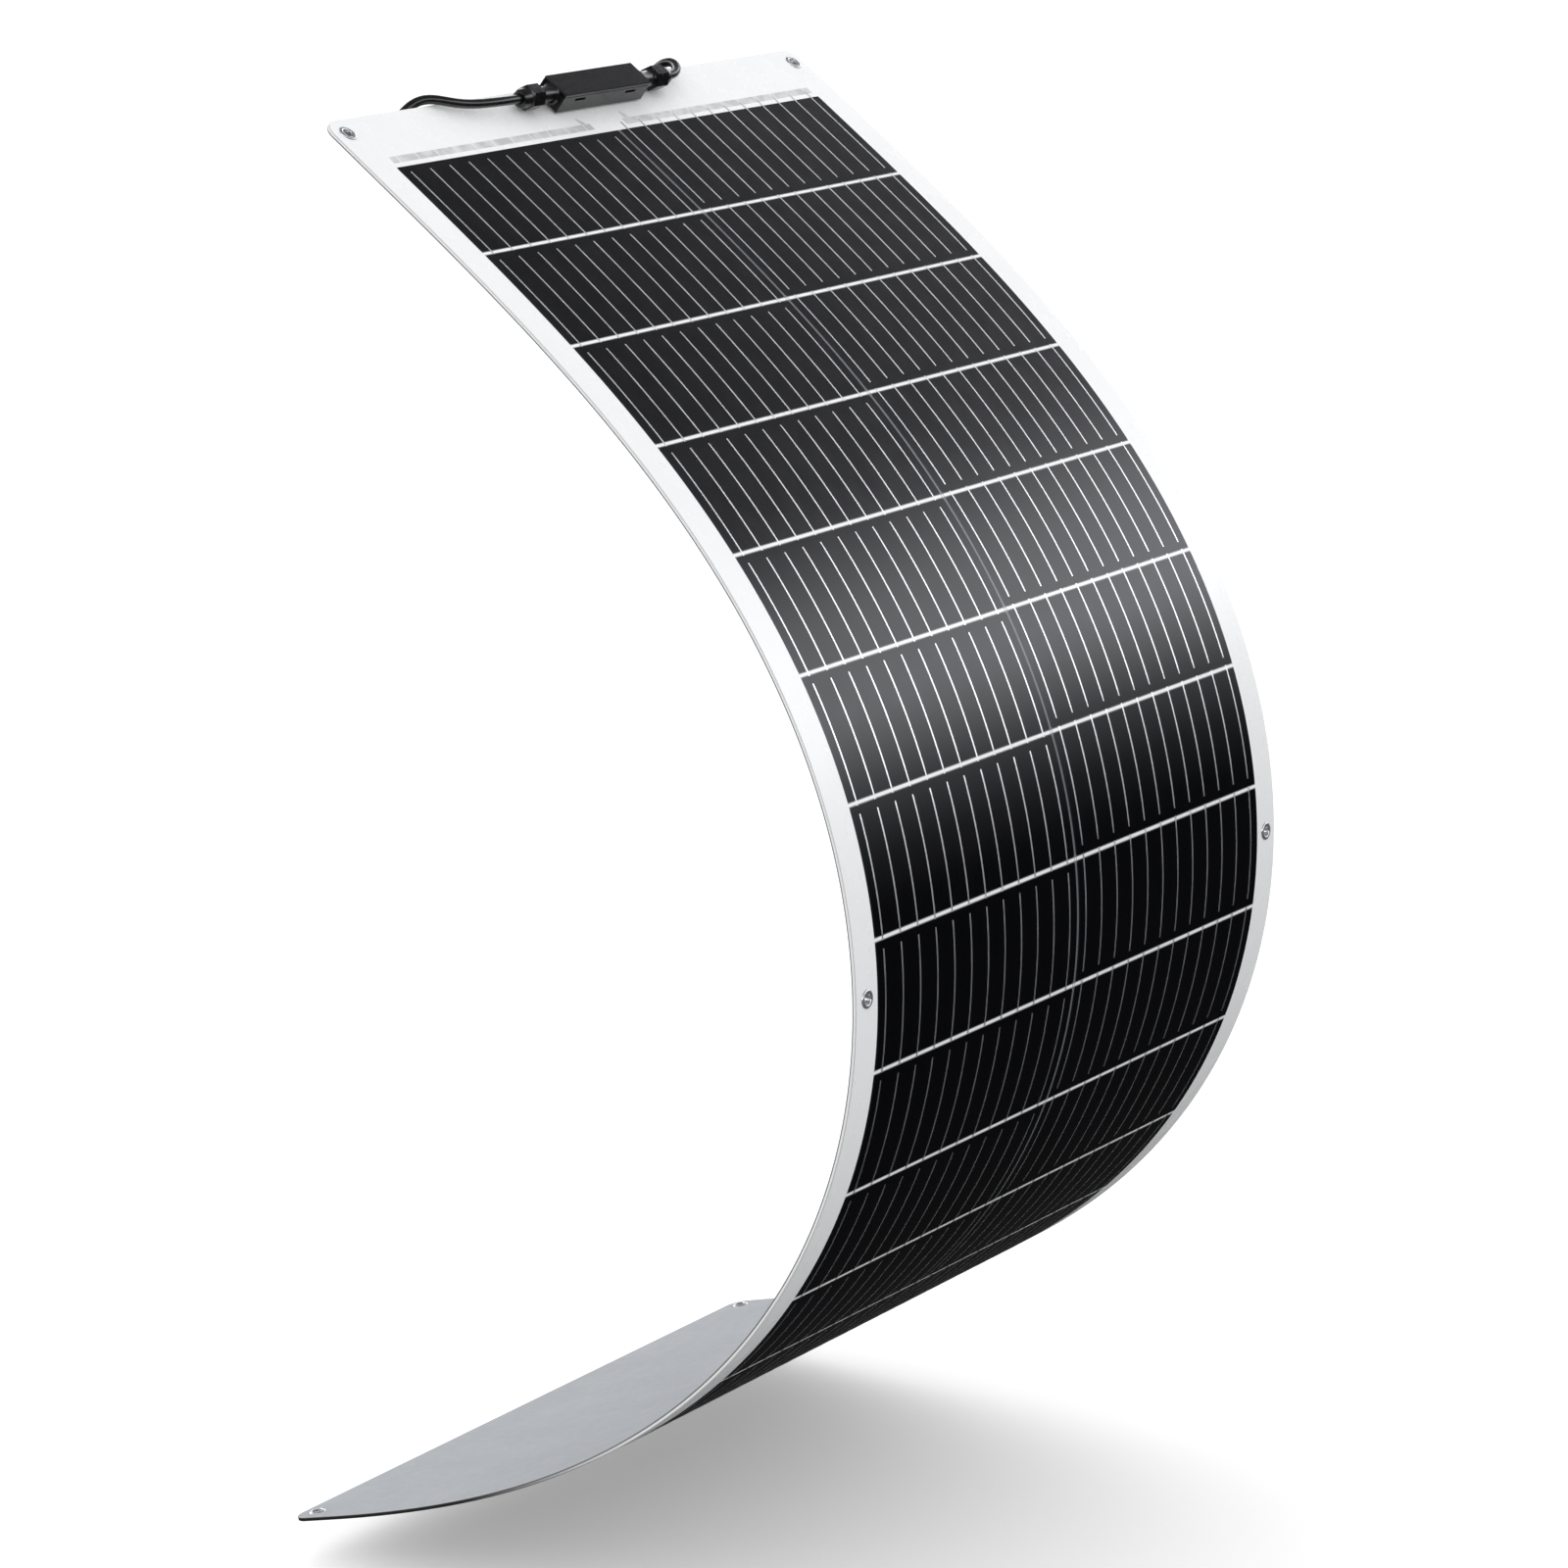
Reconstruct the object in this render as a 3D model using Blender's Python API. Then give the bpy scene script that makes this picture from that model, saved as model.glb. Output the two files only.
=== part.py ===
"""Flexible solar sheet: fifteen rows of black cells in a thin white laminate, bent into a tall C.

Metres, +Z up, +Y across the sheet. The origin is midway between the two top eyelets, in the
middle of the sheet's thickness. The cells are on the outer, convex face, and the C opens
towards -X. Places on the sheet are given as (arc, across, height): the distance along the
front face from the first cell's upper edge, the distance from the centre line, and the
height above the front face.

The laminate is cut across between the cell rows, where it bends most easily, so that each
row can turn about the line on its front face where it meets the next one.
"""
import math

import bmesh
import bpy
import numpy as np
from mathutils import Matrix, Vector

# Cells and sheet
ROWS = 15
CELL_WIDTH = 0.210
CELL_HEIGHT = 0.070
COLUMN_GAP = 0.002
ROW_GAP = 0.003
CELL_THICKNESS = 0.0004
POCKET_DEPTH = 0.0007
SIDE_MARGIN = 0.0215
TOP_MARGIN = 0.0415
BOTTOM_MARGIN = 0.0270
THICKNESS = 0.0025
CORNER_RADIUS = 0.010
GAP = 0.0003
STEPS_PER_ROW = 4
CORNER_STEPS = 5
OVERSHOOT = 0.0010  # how far a cutter or a joined part reaches past the face it meets

# The bend: the front face's slope along the sheet is a mean turn plus a tighter fold
MID_ARC = 0.6118
MID_SLOPE = math.radians(-102.4)
MEAN_TURN = math.radians(82.3)
FOLD_TURN = math.radians(-140.7)
FOLD_SPREAD = 0.5168
ARC_STEP = 0.0005

# Eyelets
EYELET_INSET = 0.0110
EYELET_HOLE_RADIUS = 0.0030
EYELET_BARREL_RADIUS = 0.0035
EYELET_FLANGE_RADIUS = 0.0053
EYELET_FLANGE = 0.0005
EYELET_CHAMFER = 0.0003

# Ribbons that collect the current, just outside the first and last row
RIBBON_WIDTH = 0.005
RIBBON_THICKNESS = 0.0003
RIBBON_OFFSET = 0.006
LEFT_TAB_ACROSS = -0.025
RIGHT_TAB_ACROSS = 0.0185
RIBBON_SIDE_INSET = 0.002
TAB_STUB = 0.003

# Junction box, in its own frame: x across the sheet, y towards the top edge, z off the sheet
BOX_ARC = -0.0285
BOX_ACROSS = 0.0015
BOX_LENGTH = 0.085
BOX_DEPTH = 0.018
BOX_WALL = 0.0016
ADHESIVE_BOTTOM = GAP
ADHESIVE_TOP = 0.0011
BASE_BOTTOM = ADHESIVE_TOP + GAP
BASE_TOP = 0.0120
LID_TOP = 0.0143
SLOT_ACROSS = 0.025
SLOT_WIDTH = 0.0095
SLOT_BOTTOM = 0.0090
SLOT_TOP = 0.0104
LATCH_PLAY = 0.0005
LID_BEVEL = 0.0006
ADHESIVE_HALF_LENGTH = 0.0405
ADHESIVE_HALF_DEPTH = 0.0070
TERMINAL_ACROSS = 0.024
TERMINAL_HALF_LENGTH = 0.005
TERMINAL_HALF_DEPTH = 0.004
TERMINAL_THICKNESS = 0.0025
DIODE_RADIUS = 0.0025
DIODE_HALF_LENGTH = 0.0045

# Cable glands, one at each end of the box
GLAND_HEIGHT = 0.0080
GLAND_FLATS = 0.0130
NECK_RADIUS = 0.0050
COLLAR_START = 0.0565
COLLAR_END = 0.0603
THREAD_RADIUS = 0.0049
THREAD_END = 0.0660
NUT_END = 0.0730
SEAL_LENGTH = 0.0035
BORE_PLAY = 0.0004
NUT_SHOULDER = 0.0065

# Leads: the exits, the bundle that they are wound into and the connectors
LEAD_DIAMETER = 0.0054
LEAD_START = 0.0500
LEAD_SPACING = 0.0068
COIL_RADIUS = 0.030
COIL_PITCH = 0.0056
COIL_ACROSS = 0.068
COIL_HEIGHT = -0.057
RIGHT_COIL_X = -0.0200
RIGHT_TURNS = 4.0
LEFT_COIL_X = -0.0138
LEFT_TURNS = 2.25
COIL_CLEARANCE = 0.0185
RIGHT_TAIL_END = -0.082
LEFT_TAIL_END = -0.170
CONNECTOR_LENGTH = 0.052
CONNECTOR_RADIUS = 0.0080
CONNECTOR_WAIST = 0.0070
SOCKET_RADIUS = 0.0050
SOCKET_DEPTH = 0.016
NOSE_RADIUS = 0.0044
CORD_PLAY = 0.0001
TIE_HALF_WIDTH = 0.0018
TIE_THICKNESS = 0.0012

# The leads' routes that lie on the sheet: arc, across, height
LEFT_ON_SHEET = [
    (BOX_ARC, BOX_ACROSS - LEAD_START, 0.0080),
    (BOX_ARC, BOX_ACROSS - 0.0620, 0.0080),
    (BOX_ARC, BOX_ACROSS - 0.0745, 0.0080),
    (-0.0289, -0.0860, 0.0077),
    (-0.0305, -0.0990, 0.0066),
    (-0.0334, -0.1125, 0.0052),
    (-0.0378, -0.1255, 0.0046),
]
RIGHT_ON_SHEET = [
    (BOX_ARC, BOX_ACROSS + LEAD_START, 0.0080),
    (BOX_ARC, BOX_ACROSS + 0.0620, 0.0080),
    (BOX_ARC, BOX_ACROSS + 0.0735, 0.0080),
]
# Where the leads turn over the top edge and hang behind it: x, y, z
LEFT_HANGING = [
    (-0.0108, -0.1385, 0.0106),
    (-0.0160, -0.1492, 0.0044),
    (-0.0188, -0.1555, -0.0065),
    (-0.0199, -0.1550, -0.0190),
    (-0.0198, -0.1452, -0.0302),
    (-0.0192, -0.1285, -0.0388),
    (-0.0185, -0.1072, -0.0440),
    (-0.0177, -0.0800, -0.0462),
    (-0.0168, -0.0500, -0.0446),
    (-0.0158, -0.0180, -0.0400),
    (-0.0149, 0.0120, -0.0345),
    (-0.0142, 0.0400, -0.0295),
]
RIGHT_HANGING = [
    (0.0069, 0.0805, 0.0064),
    (0.0058, 0.0862, 0.0072),
    (0.0034, 0.0912, 0.0089),
    (-0.0002, 0.0950, 0.0107),
    (-0.0050, 0.0972, 0.0116),
    (-0.0105, 0.0981, 0.0105),
    (-0.0155, 0.0982, 0.0072),
    (-0.0189, 0.0981, 0.0022),
    (-0.0201, 0.0980, -0.0040),
    (-0.0201, 0.0980, -0.0115),
    (-0.0200, 0.0980, -0.0195),
]

PITCH = CELL_HEIGHT + ROW_GAP
CELLS_END = ROWS * PITCH - ROW_GAP
SHEET_START = -TOP_MARGIN
SHEET_END = CELLS_END + BOTTOM_MARGIN
HALF_CELLS = CELL_WIDTH + COLUMN_GAP / 2
HALF_WIDTH = HALF_CELLS + SIDE_MARGIN
EYELET_ACROSS = HALF_WIDTH - EYELET_INSET
EYELET_ARCS = {
    "top": SHEET_START + EYELET_INSET,
    "middle": (SHEET_START + SHEET_END) / 2,
    "bottom": SHEET_END - EYELET_INSET,
}


def slope(arc):
    """Angle of the front face above +X, constant in the margins, which stay flat."""
    offset = np.clip(arc, 0.0, CELLS_END) - MID_ARC
    return MID_SLOPE + MEAN_TURN * offset + FOLD_TURN * np.tanh(offset / FOLD_SPREAD)


def integrate_profile():
    """The front face's x and z against arc, with x = z = 0 at the start of the sheet."""
    count = int(round((SHEET_END - SHEET_START) / ARC_STEP)) + 1
    arcs = np.linspace(SHEET_START, SHEET_END, count)
    middles = slope((arcs[1:] + arcs[:-1]) / 2)
    steps = np.diff(arcs)
    x = np.concatenate([[0.0], np.cumsum(np.cos(middles) * steps)])
    z = np.concatenate([[0.0], np.cumsum(np.sin(middles) * steps)])
    return arcs, x, z


ARCS, PROFILE_X, PROFILE_Z = integrate_profile()


def normal(arc):
    """Outward normal of the front face."""
    angle = float(slope(arc))
    return Vector((-math.sin(angle), 0.0, math.cos(angle)))


def profile_point(arc, height):
    """Point of the profile, still measured from the start of the sheet."""
    clamped = min(max(arc, SHEET_START), SHEET_END)
    angle = float(slope(arc))
    along = Vector((math.cos(angle), 0.0, math.sin(angle)))
    x = float(np.interp(clamped, ARCS, PROFILE_X))
    z = float(np.interp(clamped, ARCS, PROFILE_Z))
    return Vector((x, 0.0, z)) + along * (arc - clamped) + normal(arc) * height


ORIGIN = profile_point(EYELET_ARCS["top"], -THICKNESS / 2)


def on_sheet(arc, across, height):
    """World point of a place on the sheet."""
    return profile_point(arc, height) - ORIGIN + Vector((0.0, across, 0.0))


def clear_scene():
    for item in list(bpy.data.objects):
        bpy.data.objects.remove(item, do_unlink=True)


def material(name, colour, roughness, metallic=0.0):
    made = bpy.data.materials.new(name)
    made.use_nodes = True
    shader = made.node_tree.nodes["Principled BSDF"]
    shader.inputs["Base Color"].default_value = (*colour, 1.0)
    shader.inputs["Roughness"].default_value = roughness
    shader.inputs["Metallic"].default_value = metallic
    return made


def add_object(name, mesh_data, paint, location=(0, 0, 0), matrix=None):
    made = bpy.data.objects.new(name, mesh_data)
    bpy.context.scene.collection.objects.link(made)
    if matrix is None:
        made.location = location
    else:
        made.matrix_world = matrix
    if paint is not None:
        made.data.materials.append(paint)
    return made


def loft(name, sections, paint=None):
    """Closed solid through sections, each a list of the same number of points."""
    work = bmesh.new()
    rings = [[work.verts.new(point) for point in section] for section in sections]
    count = len(rings[0])
    for first, second in zip(rings, rings[1:]):
        for index in range(count):
            other = (index + 1) % count
            work.faces.new((first[index], first[other], second[other], second[index]))
    work.faces.new(list(reversed(rings[0])))
    work.faces.new(rings[-1])
    bmesh.ops.recalc_face_normals(work, faces=work.faces)
    mesh_data = bpy.data.meshes.new(name)
    work.to_mesh(mesh_data)
    work.free()
    return add_object(name, mesh_data, paint)


def turned(name, outline, segments, paint=None, matrix=None):
    """Solid turned about local z from a closed outline of (radius, z) points.

    Points with radius 0 become single vertices on the axis."""
    work = bmesh.new()
    angles = [2 * math.pi * step / segments for step in range(segments)]
    directions = [Vector((math.cos(angle), math.sin(angle), 0.0)) for angle in angles]
    rings = []
    for radius, z in outline:
        if radius == 0:
            rings.append([work.verts.new((0, 0, z))])
            continue
        rings.append([work.verts.new(out * radius + Vector((0.0, 0.0, z))) for out in directions])
    for first, second in zip(rings, rings[1:] + rings[:1]):
        if len(first) == 1 and len(second) == 1:
            continue
        for index in range(segments):
            other = (index + 1) % segments
            corners = [first[index % len(first)], first[other % len(first)]]
            corners += [second[other % len(second)], second[index % len(second)]]
            unique = list(dict.fromkeys(corners))
            work.faces.new(unique)
    bmesh.ops.recalc_face_normals(work, faces=work.faces)
    mesh_data = bpy.data.meshes.new(name)
    work.to_mesh(mesh_data)
    work.free()
    made = add_object(name, mesh_data, paint, matrix=matrix or Matrix())
    made.data.shade_smooth()
    made.data.set_sharp_from_angle(angle=math.radians(35))
    return made


def block(name, low, high, paint=None, parent=None, bevel=0.0):
    """Box between two corners, in its parent's frame."""
    work = bmesh.new()
    bmesh.ops.create_cube(work, size=1.0)
    size = [b - a for a, b in zip(low, high)]
    centre = [(a + b) / 2 for a, b in zip(low, high)]
    bmesh.ops.scale(work, vec=size, verts=work.verts)
    bmesh.ops.translate(work, vec=centre, verts=work.verts)
    if bevel:
        bmesh.ops.bevel(work, geom=work.edges[:], offset=bevel, segments=1, affect="EDGES")
    mesh_data = bpy.data.meshes.new(name)
    work.to_mesh(mesh_data)
    work.free()
    made = add_object(name, mesh_data, paint)
    made.parent = parent
    return made


def combine(target, tool, operation):
    """Boolean with a tool that is kept as a hidden guide."""
    tool.hide_render = True
    tool.display_type = "WIRE"
    change = target.modifiers.new(operation.title(), "BOOLEAN")
    change.operation = operation
    change.solver = "EXACT"
    change.object = tool


def cross_turn(across, arc=BOX_ARC, height=GLAND_HEIGHT):
    """Matrix that lays a turned solid's axis across the sheet, pointing to +Y."""
    return Matrix.Translation(on_sheet(arc, across, height)) @ Matrix.Rotation(-math.pi / 2, 4, "X")


def half_width(arc):
    """Half the sheet's width, less at the rounded corners."""
    inside = min(arc - SHEET_START, SHEET_END - arc)
    if inside >= CORNER_RADIUS:
        return HALF_WIDTH
    missing = CORNER_RADIUS - inside
    return HALF_WIDTH - CORNER_RADIUS + math.sqrt(max(CORNER_RADIUS**2 - missing**2, 0.0))


def row_span(row):
    """First and last arc of one row's laminate. Rows count from 1 at the top."""
    first = SHEET_START if row == 1 else (row - 1) * PITCH - (ROW_GAP - GAP) / 2
    last = SHEET_END if row == ROWS else row * PITCH - (ROW_GAP + GAP) / 2
    return first, last


def hinge_arc(row):
    """Arc of the line where this row meets the next."""
    return row * PITCH - ROW_GAP / 2


def pivot(row):
    """Point on the line that a row turns about. The top row doesn't turn."""
    if row == 1:
        return Vector((0.0, 0.0, 0.0))
    return on_sheet(hinge_arc(row - 1), 0.0, 0.0)


def make_hinges():
    """An empty on each row's hinge line, each carried by the one before it."""
    hinges = {1: None}
    for row in range(2, ROWS + 1):
        empty = bpy.data.objects.new(f"hinge_{row - 1:02d}", None)
        bpy.context.scene.collection.objects.link(empty)
        empty.parent = hinges[row - 1]
        empty.location = pivot(row) - pivot(row - 1)
        hinges[row] = empty
    return hinges


def carry(piece, hinges, row):
    """Hang a piece that was built in world coordinates on its row's hinge."""
    piece.data.transform(Matrix.Translation(-pivot(row)))
    piece.parent = hinges[row]
    return piece


def row_of(arc):
    """The row whose laminate holds an arc."""
    return min(max(int(arc // PITCH) + 1, 1), ROWS)


def cell_arcs(row):
    """Arcs of the sections through one row's cells."""
    start = (row - 1) * PITCH
    return [start + CELL_HEIGHT * step / STEPS_PER_ROW for step in range(STEPS_PER_ROW + 1)]


def row_arcs(row):
    """Arcs of the sections through one row's laminate."""
    first, last = row_span(row)
    inner = [arc for arc in cell_arcs(row) if first + OVERSHOOT < arc < last - OVERSHOOT]
    turns = [math.pi / 2 * step / CORNER_STEPS for step in range(1, CORNER_STEPS + 1)]
    corner = [CORNER_RADIUS * (1 - math.cos(turn)) for turn in turns]
    if row == 1:
        inner = [SHEET_START + depth for depth in corner] + inner
    if row == ROWS:
        inner = inner + [SHEET_END - depth for depth in reversed(corner)]
    return [first] + inner + [last]


def slab_section(arc, half, top, bottom):
    """Rectangle across the sheet at one arc, between two heights."""
    places = ((-half, top), (half, top), (half, bottom), (-half, bottom))
    return [on_sheet(arc, across, height) for across, height in places]


def make_laminate(row, hinges, paint):
    name = f"laminate_row_{row:02d}"
    sections = [slab_section(arc, half_width(arc), 0.0, -THICKNESS) for arc in row_arcs(row)]
    sheet = carry(loft(name, sections, paint), hinges, row)
    first, last = row_span(row)
    low = -GAP if row == 1 else first - OVERSHOOT
    high = CELLS_END + GAP if row == ROWS else last + OVERSHOOT
    inner = [arc for arc in row_arcs(row) if low + OVERSHOOT < arc < high - OVERSHOOT]
    pocket = loft(
        f"pocket_{row:02d}",
        [slab_section(arc, HALF_CELLS + GAP, OVERSHOOT, -POCKET_DEPTH) for arc in [low] + inner + [high]],
    )
    combine(sheet, pocket, "DIFFERENCE")
    return sheet


def make_cell_row(row, hinges, paint):
    """Two cells side by side, held together by the encapsulant between them."""
    inner = COLUMN_GAP / 2
    outline = [
        (-HALF_CELLS, 0.0),
        (-inner, 0.0),
        (-inner, -CELL_THICKNESS / 2),
        (inner, -CELL_THICKNESS / 2),
        (inner, 0.0),
        (HALF_CELLS, 0.0),
        (HALF_CELLS, -CELL_THICKNESS),
        (-HALF_CELLS, -CELL_THICKNESS),
    ]
    sections = [[on_sheet(arc, across, height) for across, height in outline] for arc in cell_arcs(row)]
    carry(loft(f"cell_row_{row:02d}", sections, paint), hinges, row)


def flat_outline(name, outline, top, bottom, paint=None):
    """Prism in a flat margin from an outline of (arc, across) points."""
    sections = [[on_sheet(arc, across, height) for arc, across in outline] for height in (top, bottom)]
    return loft(name, sections, paint)


def ribbon_outline(outer, inner, tab, grow=0.0):
    """L shape of a top ribbon with the tab that leads up to the junction box."""
    near = -RIBBON_OFFSET + RIBBON_WIDTH / 2 + grow
    far = -RIBBON_OFFSET - RIBBON_WIDTH / 2 - grow
    side = math.copysign(1.0, outer)
    tab_outer = tab + side * (RIBBON_WIDTH / 2 + grow)
    tab_inner = tab - side * (RIBBON_WIDTH / 2 + grow)
    return [
        (near, outer + side * grow),
        (far, outer + side * grow),
        (far, tab_outer),
        (BOX_ARC - grow, tab_outer),
        (BOX_ARC - grow, tab_inner),
        (far, tab_inner),
        (far, inner - side * grow),
        (near, inner - side * grow),
    ]


def make_top_ribbons(sheet, paint):
    reach = HALF_CELLS - RIBBON_SIDE_INSET
    for name, side, tab in (("left", -1, LEFT_TAB_ACROSS), ("right", 1, RIGHT_TAB_ACROSS)):
        inner = tab - side * (RIBBON_WIDTH / 2 + TAB_STUB)
        outline = ribbon_outline(side * reach, inner, tab)
        flat_outline(f"ribbon_top_{name}", outline, 0.0, -RIBBON_THICKNESS, paint)
        recess = ribbon_outline(side * reach, inner, tab, GAP)
        cut = flat_outline(f"ribbon_cut_{name}", recess, OVERSHOOT, -POCKET_DEPTH)
        combine(sheet, cut, "DIFFERENCE")


def bottom_ribbon_outline(grow):
    near = CELLS_END + RIBBON_OFFSET - RIBBON_WIDTH / 2 - grow
    far = CELLS_END + RIBBON_OFFSET + RIBBON_WIDTH / 2 + grow
    reach = HALF_CELLS - RIBBON_SIDE_INSET + grow
    return [(near, -reach), (near, reach), (far, reach), (far, -reach)]


def make_bottom_ribbon(sheet, hinges, paint):
    ribbon = flat_outline("ribbon_bottom", bottom_ribbon_outline(0.0), 0.0, -RIBBON_THICKNESS, paint)
    carry(ribbon, hinges, ROWS)
    cut = flat_outline("ribbon_cut_bottom", bottom_ribbon_outline(GAP), OVERSHOOT, -POCKET_DEPTH)
    combine(sheet, cut, "DIFFERENCE")


def make_eyelets(sheets, hinges, paint):
    """Eyelets rolled over on both faces, in clearance holes through the margin."""
    front = GAP
    back = -THICKNESS - GAP
    outline = [
        (EYELET_HOLE_RADIUS, front + EYELET_FLANGE),
        (EYELET_FLANGE_RADIUS - EYELET_CHAMFER, front + EYELET_FLANGE),
        (EYELET_FLANGE_RADIUS, front),
        (EYELET_BARREL_RADIUS, front),
        (EYELET_BARREL_RADIUS, back),
        (EYELET_FLANGE_RADIUS, back),
        (EYELET_FLANGE_RADIUS - EYELET_CHAMFER, back - EYELET_FLANGE),
        (EYELET_HOLE_RADIUS, back - EYELET_FLANGE),
    ]
    hole_radius = EYELET_BARREL_RADIUS + GAP
    above = OVERSHOOT
    below = -THICKNESS - OVERSHOOT
    hole = [(0, above), (hole_radius, above), (hole_radius, below), (0, below)]
    for level, arc in EYELET_ARCS.items():
        row = row_of(arc)
        for side, across in (("left", -EYELET_ACROSS), ("right", EYELET_ACROSS)):
            turn = Matrix.Rotation(-float(slope(arc)), 4, "Y")
            place = Matrix.Translation(on_sheet(arc, across, 0.0)) @ turn
            carried = Matrix.Translation(-pivot(row)) @ place
            eyelet = turned(f"eyelet_{level}_{side}", outline, 20, paint, carried)
            eyelet.parent = hinges[row]
            cut = turned(f"eyelet_cut_{level}_{side}", hole, 20, matrix=place)
            combine(sheets[row], cut, "DIFFERENCE")


def hexagon(name, flats, start, end, paint=None, parent=None):
    """Hexagonal bar across the sheet, in the junction box's frame."""
    work = bmesh.new()
    radius = flats / 2 / math.cos(math.pi / 6)
    bmesh.ops.create_cone(
        work, cap_ends=True, segments=6, radius1=radius, radius2=radius, depth=end - start
    )
    turn = Matrix.Rotation(math.pi / 2, 4, "Y")
    bmesh.ops.transform(work, matrix=turn, verts=work.verts)
    bmesh.ops.translate(work, vec=((start + end) / 2, 0, GLAND_HEIGHT), verts=work.verts)
    mesh_data = bpy.data.meshes.new(name)
    work.to_mesh(mesh_data)
    work.free()
    made = add_object(name, mesh_data, paint)
    made.parent = parent
    return made


def round_bar(name, radius, start, end, segments=24, parent=None):
    """Round bar along the box's length, in its frame."""
    outline = [(0, start), (radius, start), (radius, end), (0, end)]
    lay = Matrix.Rotation(math.pi / 2, 4, "Y")
    made = turned(name, outline, segments, matrix=Matrix.Translation((0, 0, GLAND_HEIGHT)) @ lay)
    made.parent = parent
    return made


def make_box_base(frame, paint):
    half_length = BOX_LENGTH / 2
    half_depth = BOX_DEPTH / 2
    base = block(
        "jbox_base",
        (-half_length, -half_depth, BASE_BOTTOM),
        (half_length, half_depth, BASE_TOP),
        paint,
        frame,
    )
    for side in (-1, 1):
        ends = sorted((side * (half_length - OVERSHOOT), side * (COLLAR_START + OVERSHOOT)))
        neck = round_bar(f"neck_{side}", NECK_RADIUS, ends[0], ends[1], parent=frame)
        combine(base, neck, "UNION")
        ends = sorted((side * COLLAR_START, side * COLLAR_END))
        collar = hexagon(f"collar_{side}", GLAND_FLATS, ends[0], ends[1], parent=frame)
        combine(base, collar, "UNION")
        ends = sorted((side * (COLLAR_END - OVERSHOOT), side * THREAD_END))
        thread = round_bar(f"thread_{side}", THREAD_RADIUS, ends[0], ends[1], parent=frame)
        combine(base, thread, "UNION")
    cavity = block(
        "cavity",
        (-half_length + BOX_WALL, -half_depth + BOX_WALL, BASE_BOTTOM + BOX_WALL),
        (half_length - BOX_WALL, half_depth - BOX_WALL, BASE_TOP + OVERSHOOT),
        parent=frame,
    )
    combine(base, cavity, "DIFFERENCE")
    lid_room = block(
        "lid_room",
        (-half_length - GAP, -half_depth, BASE_TOP),
        (half_length + GAP, half_depth, LID_TOP),
        parent=frame,
    )
    combine(base, lid_room, "DIFFERENCE")
    bore_end = THREAD_END + OVERSHOOT
    bore = round_bar("bore", LEAD_DIAMETER / 2 + BORE_PLAY, -bore_end, bore_end, parent=frame)
    combine(base, bore, "DIFFERENCE")
    for side in (-1, 1):
        middle = side * SLOT_ACROSS
        slot = block(
            f"latch_slot_{side}",
            (middle - SLOT_WIDTH / 2, -half_depth - OVERSHOOT, SLOT_BOTTOM),
            (middle + SLOT_WIDTH / 2, half_depth + OVERSHOOT, SLOT_TOP),
            parent=frame,
        )
        combine(base, slot, "DIFFERENCE")
    return base


def make_box_lid(frame, paint):
    """Plate with four latch tabs that hang inside the walls behind the slots."""
    half_length = BOX_LENGTH / 2
    half_depth = BOX_DEPTH / 2
    plate_bottom = BASE_TOP + GAP
    lid = block(
        "jbox_lid",
        (-half_length, -half_depth, plate_bottom),
        (half_length, half_depth, LID_TOP),
        paint,
        frame,
        bevel=LID_BEVEL,
    )
    tab_outer = half_depth - BOX_WALL - GAP
    for side in (-1, 1):
        for end in (-1, 1):
            middle = end * SLOT_ACROSS
            ends = sorted((side * (tab_outer - OVERSHOOT), side * tab_outer))
            tab = block(
                f"latch_{side}_{end}",
                (middle - SLOT_WIDTH / 2 + LATCH_PLAY, ends[0], SLOT_BOTTOM),
                (middle + SLOT_WIDTH / 2 - LATCH_PLAY, ends[1], plate_bottom + OVERSHOOT),
                parent=frame,
            )
            combine(lid, tab, "UNION")
    return lid


def make_box_inside(frame, copper, dark):
    """Two solder terminals with the bypass diode between them."""
    floor = BASE_BOTTOM + BOX_WALL + GAP
    for side, middle in (("left", -TERMINAL_ACROSS), ("right", TERMINAL_ACROSS)):
        low = (middle - TERMINAL_HALF_LENGTH, -TERMINAL_HALF_DEPTH, floor)
        high = (middle + TERMINAL_HALF_LENGTH, TERMINAL_HALF_DEPTH, floor + TERMINAL_THICKNESS)
        block(f"terminal_{side}", low, high, copper, frame)
    outline = [
        (0, -DIODE_HALF_LENGTH),
        (DIODE_RADIUS, -DIODE_HALF_LENGTH),
        (DIODE_RADIUS, DIODE_HALF_LENGTH),
        (0, DIODE_HALF_LENGTH),
    ]
    lay = Matrix.Translation((0, 0, floor + DIODE_RADIUS)) @ Matrix.Rotation(math.pi / 2, 4, "Y")
    diode = turned("bypass_diode", outline, 16, dark, lay)
    diode.parent = frame


def make_adhesive(frame, paint):
    low = (-ADHESIVE_HALF_LENGTH, -ADHESIVE_HALF_DEPTH, ADHESIVE_BOTTOM)
    high = (ADHESIVE_HALF_LENGTH, ADHESIVE_HALF_DEPTH, ADHESIVE_TOP)
    block("jbox_adhesive", low, high, paint, frame)


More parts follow.
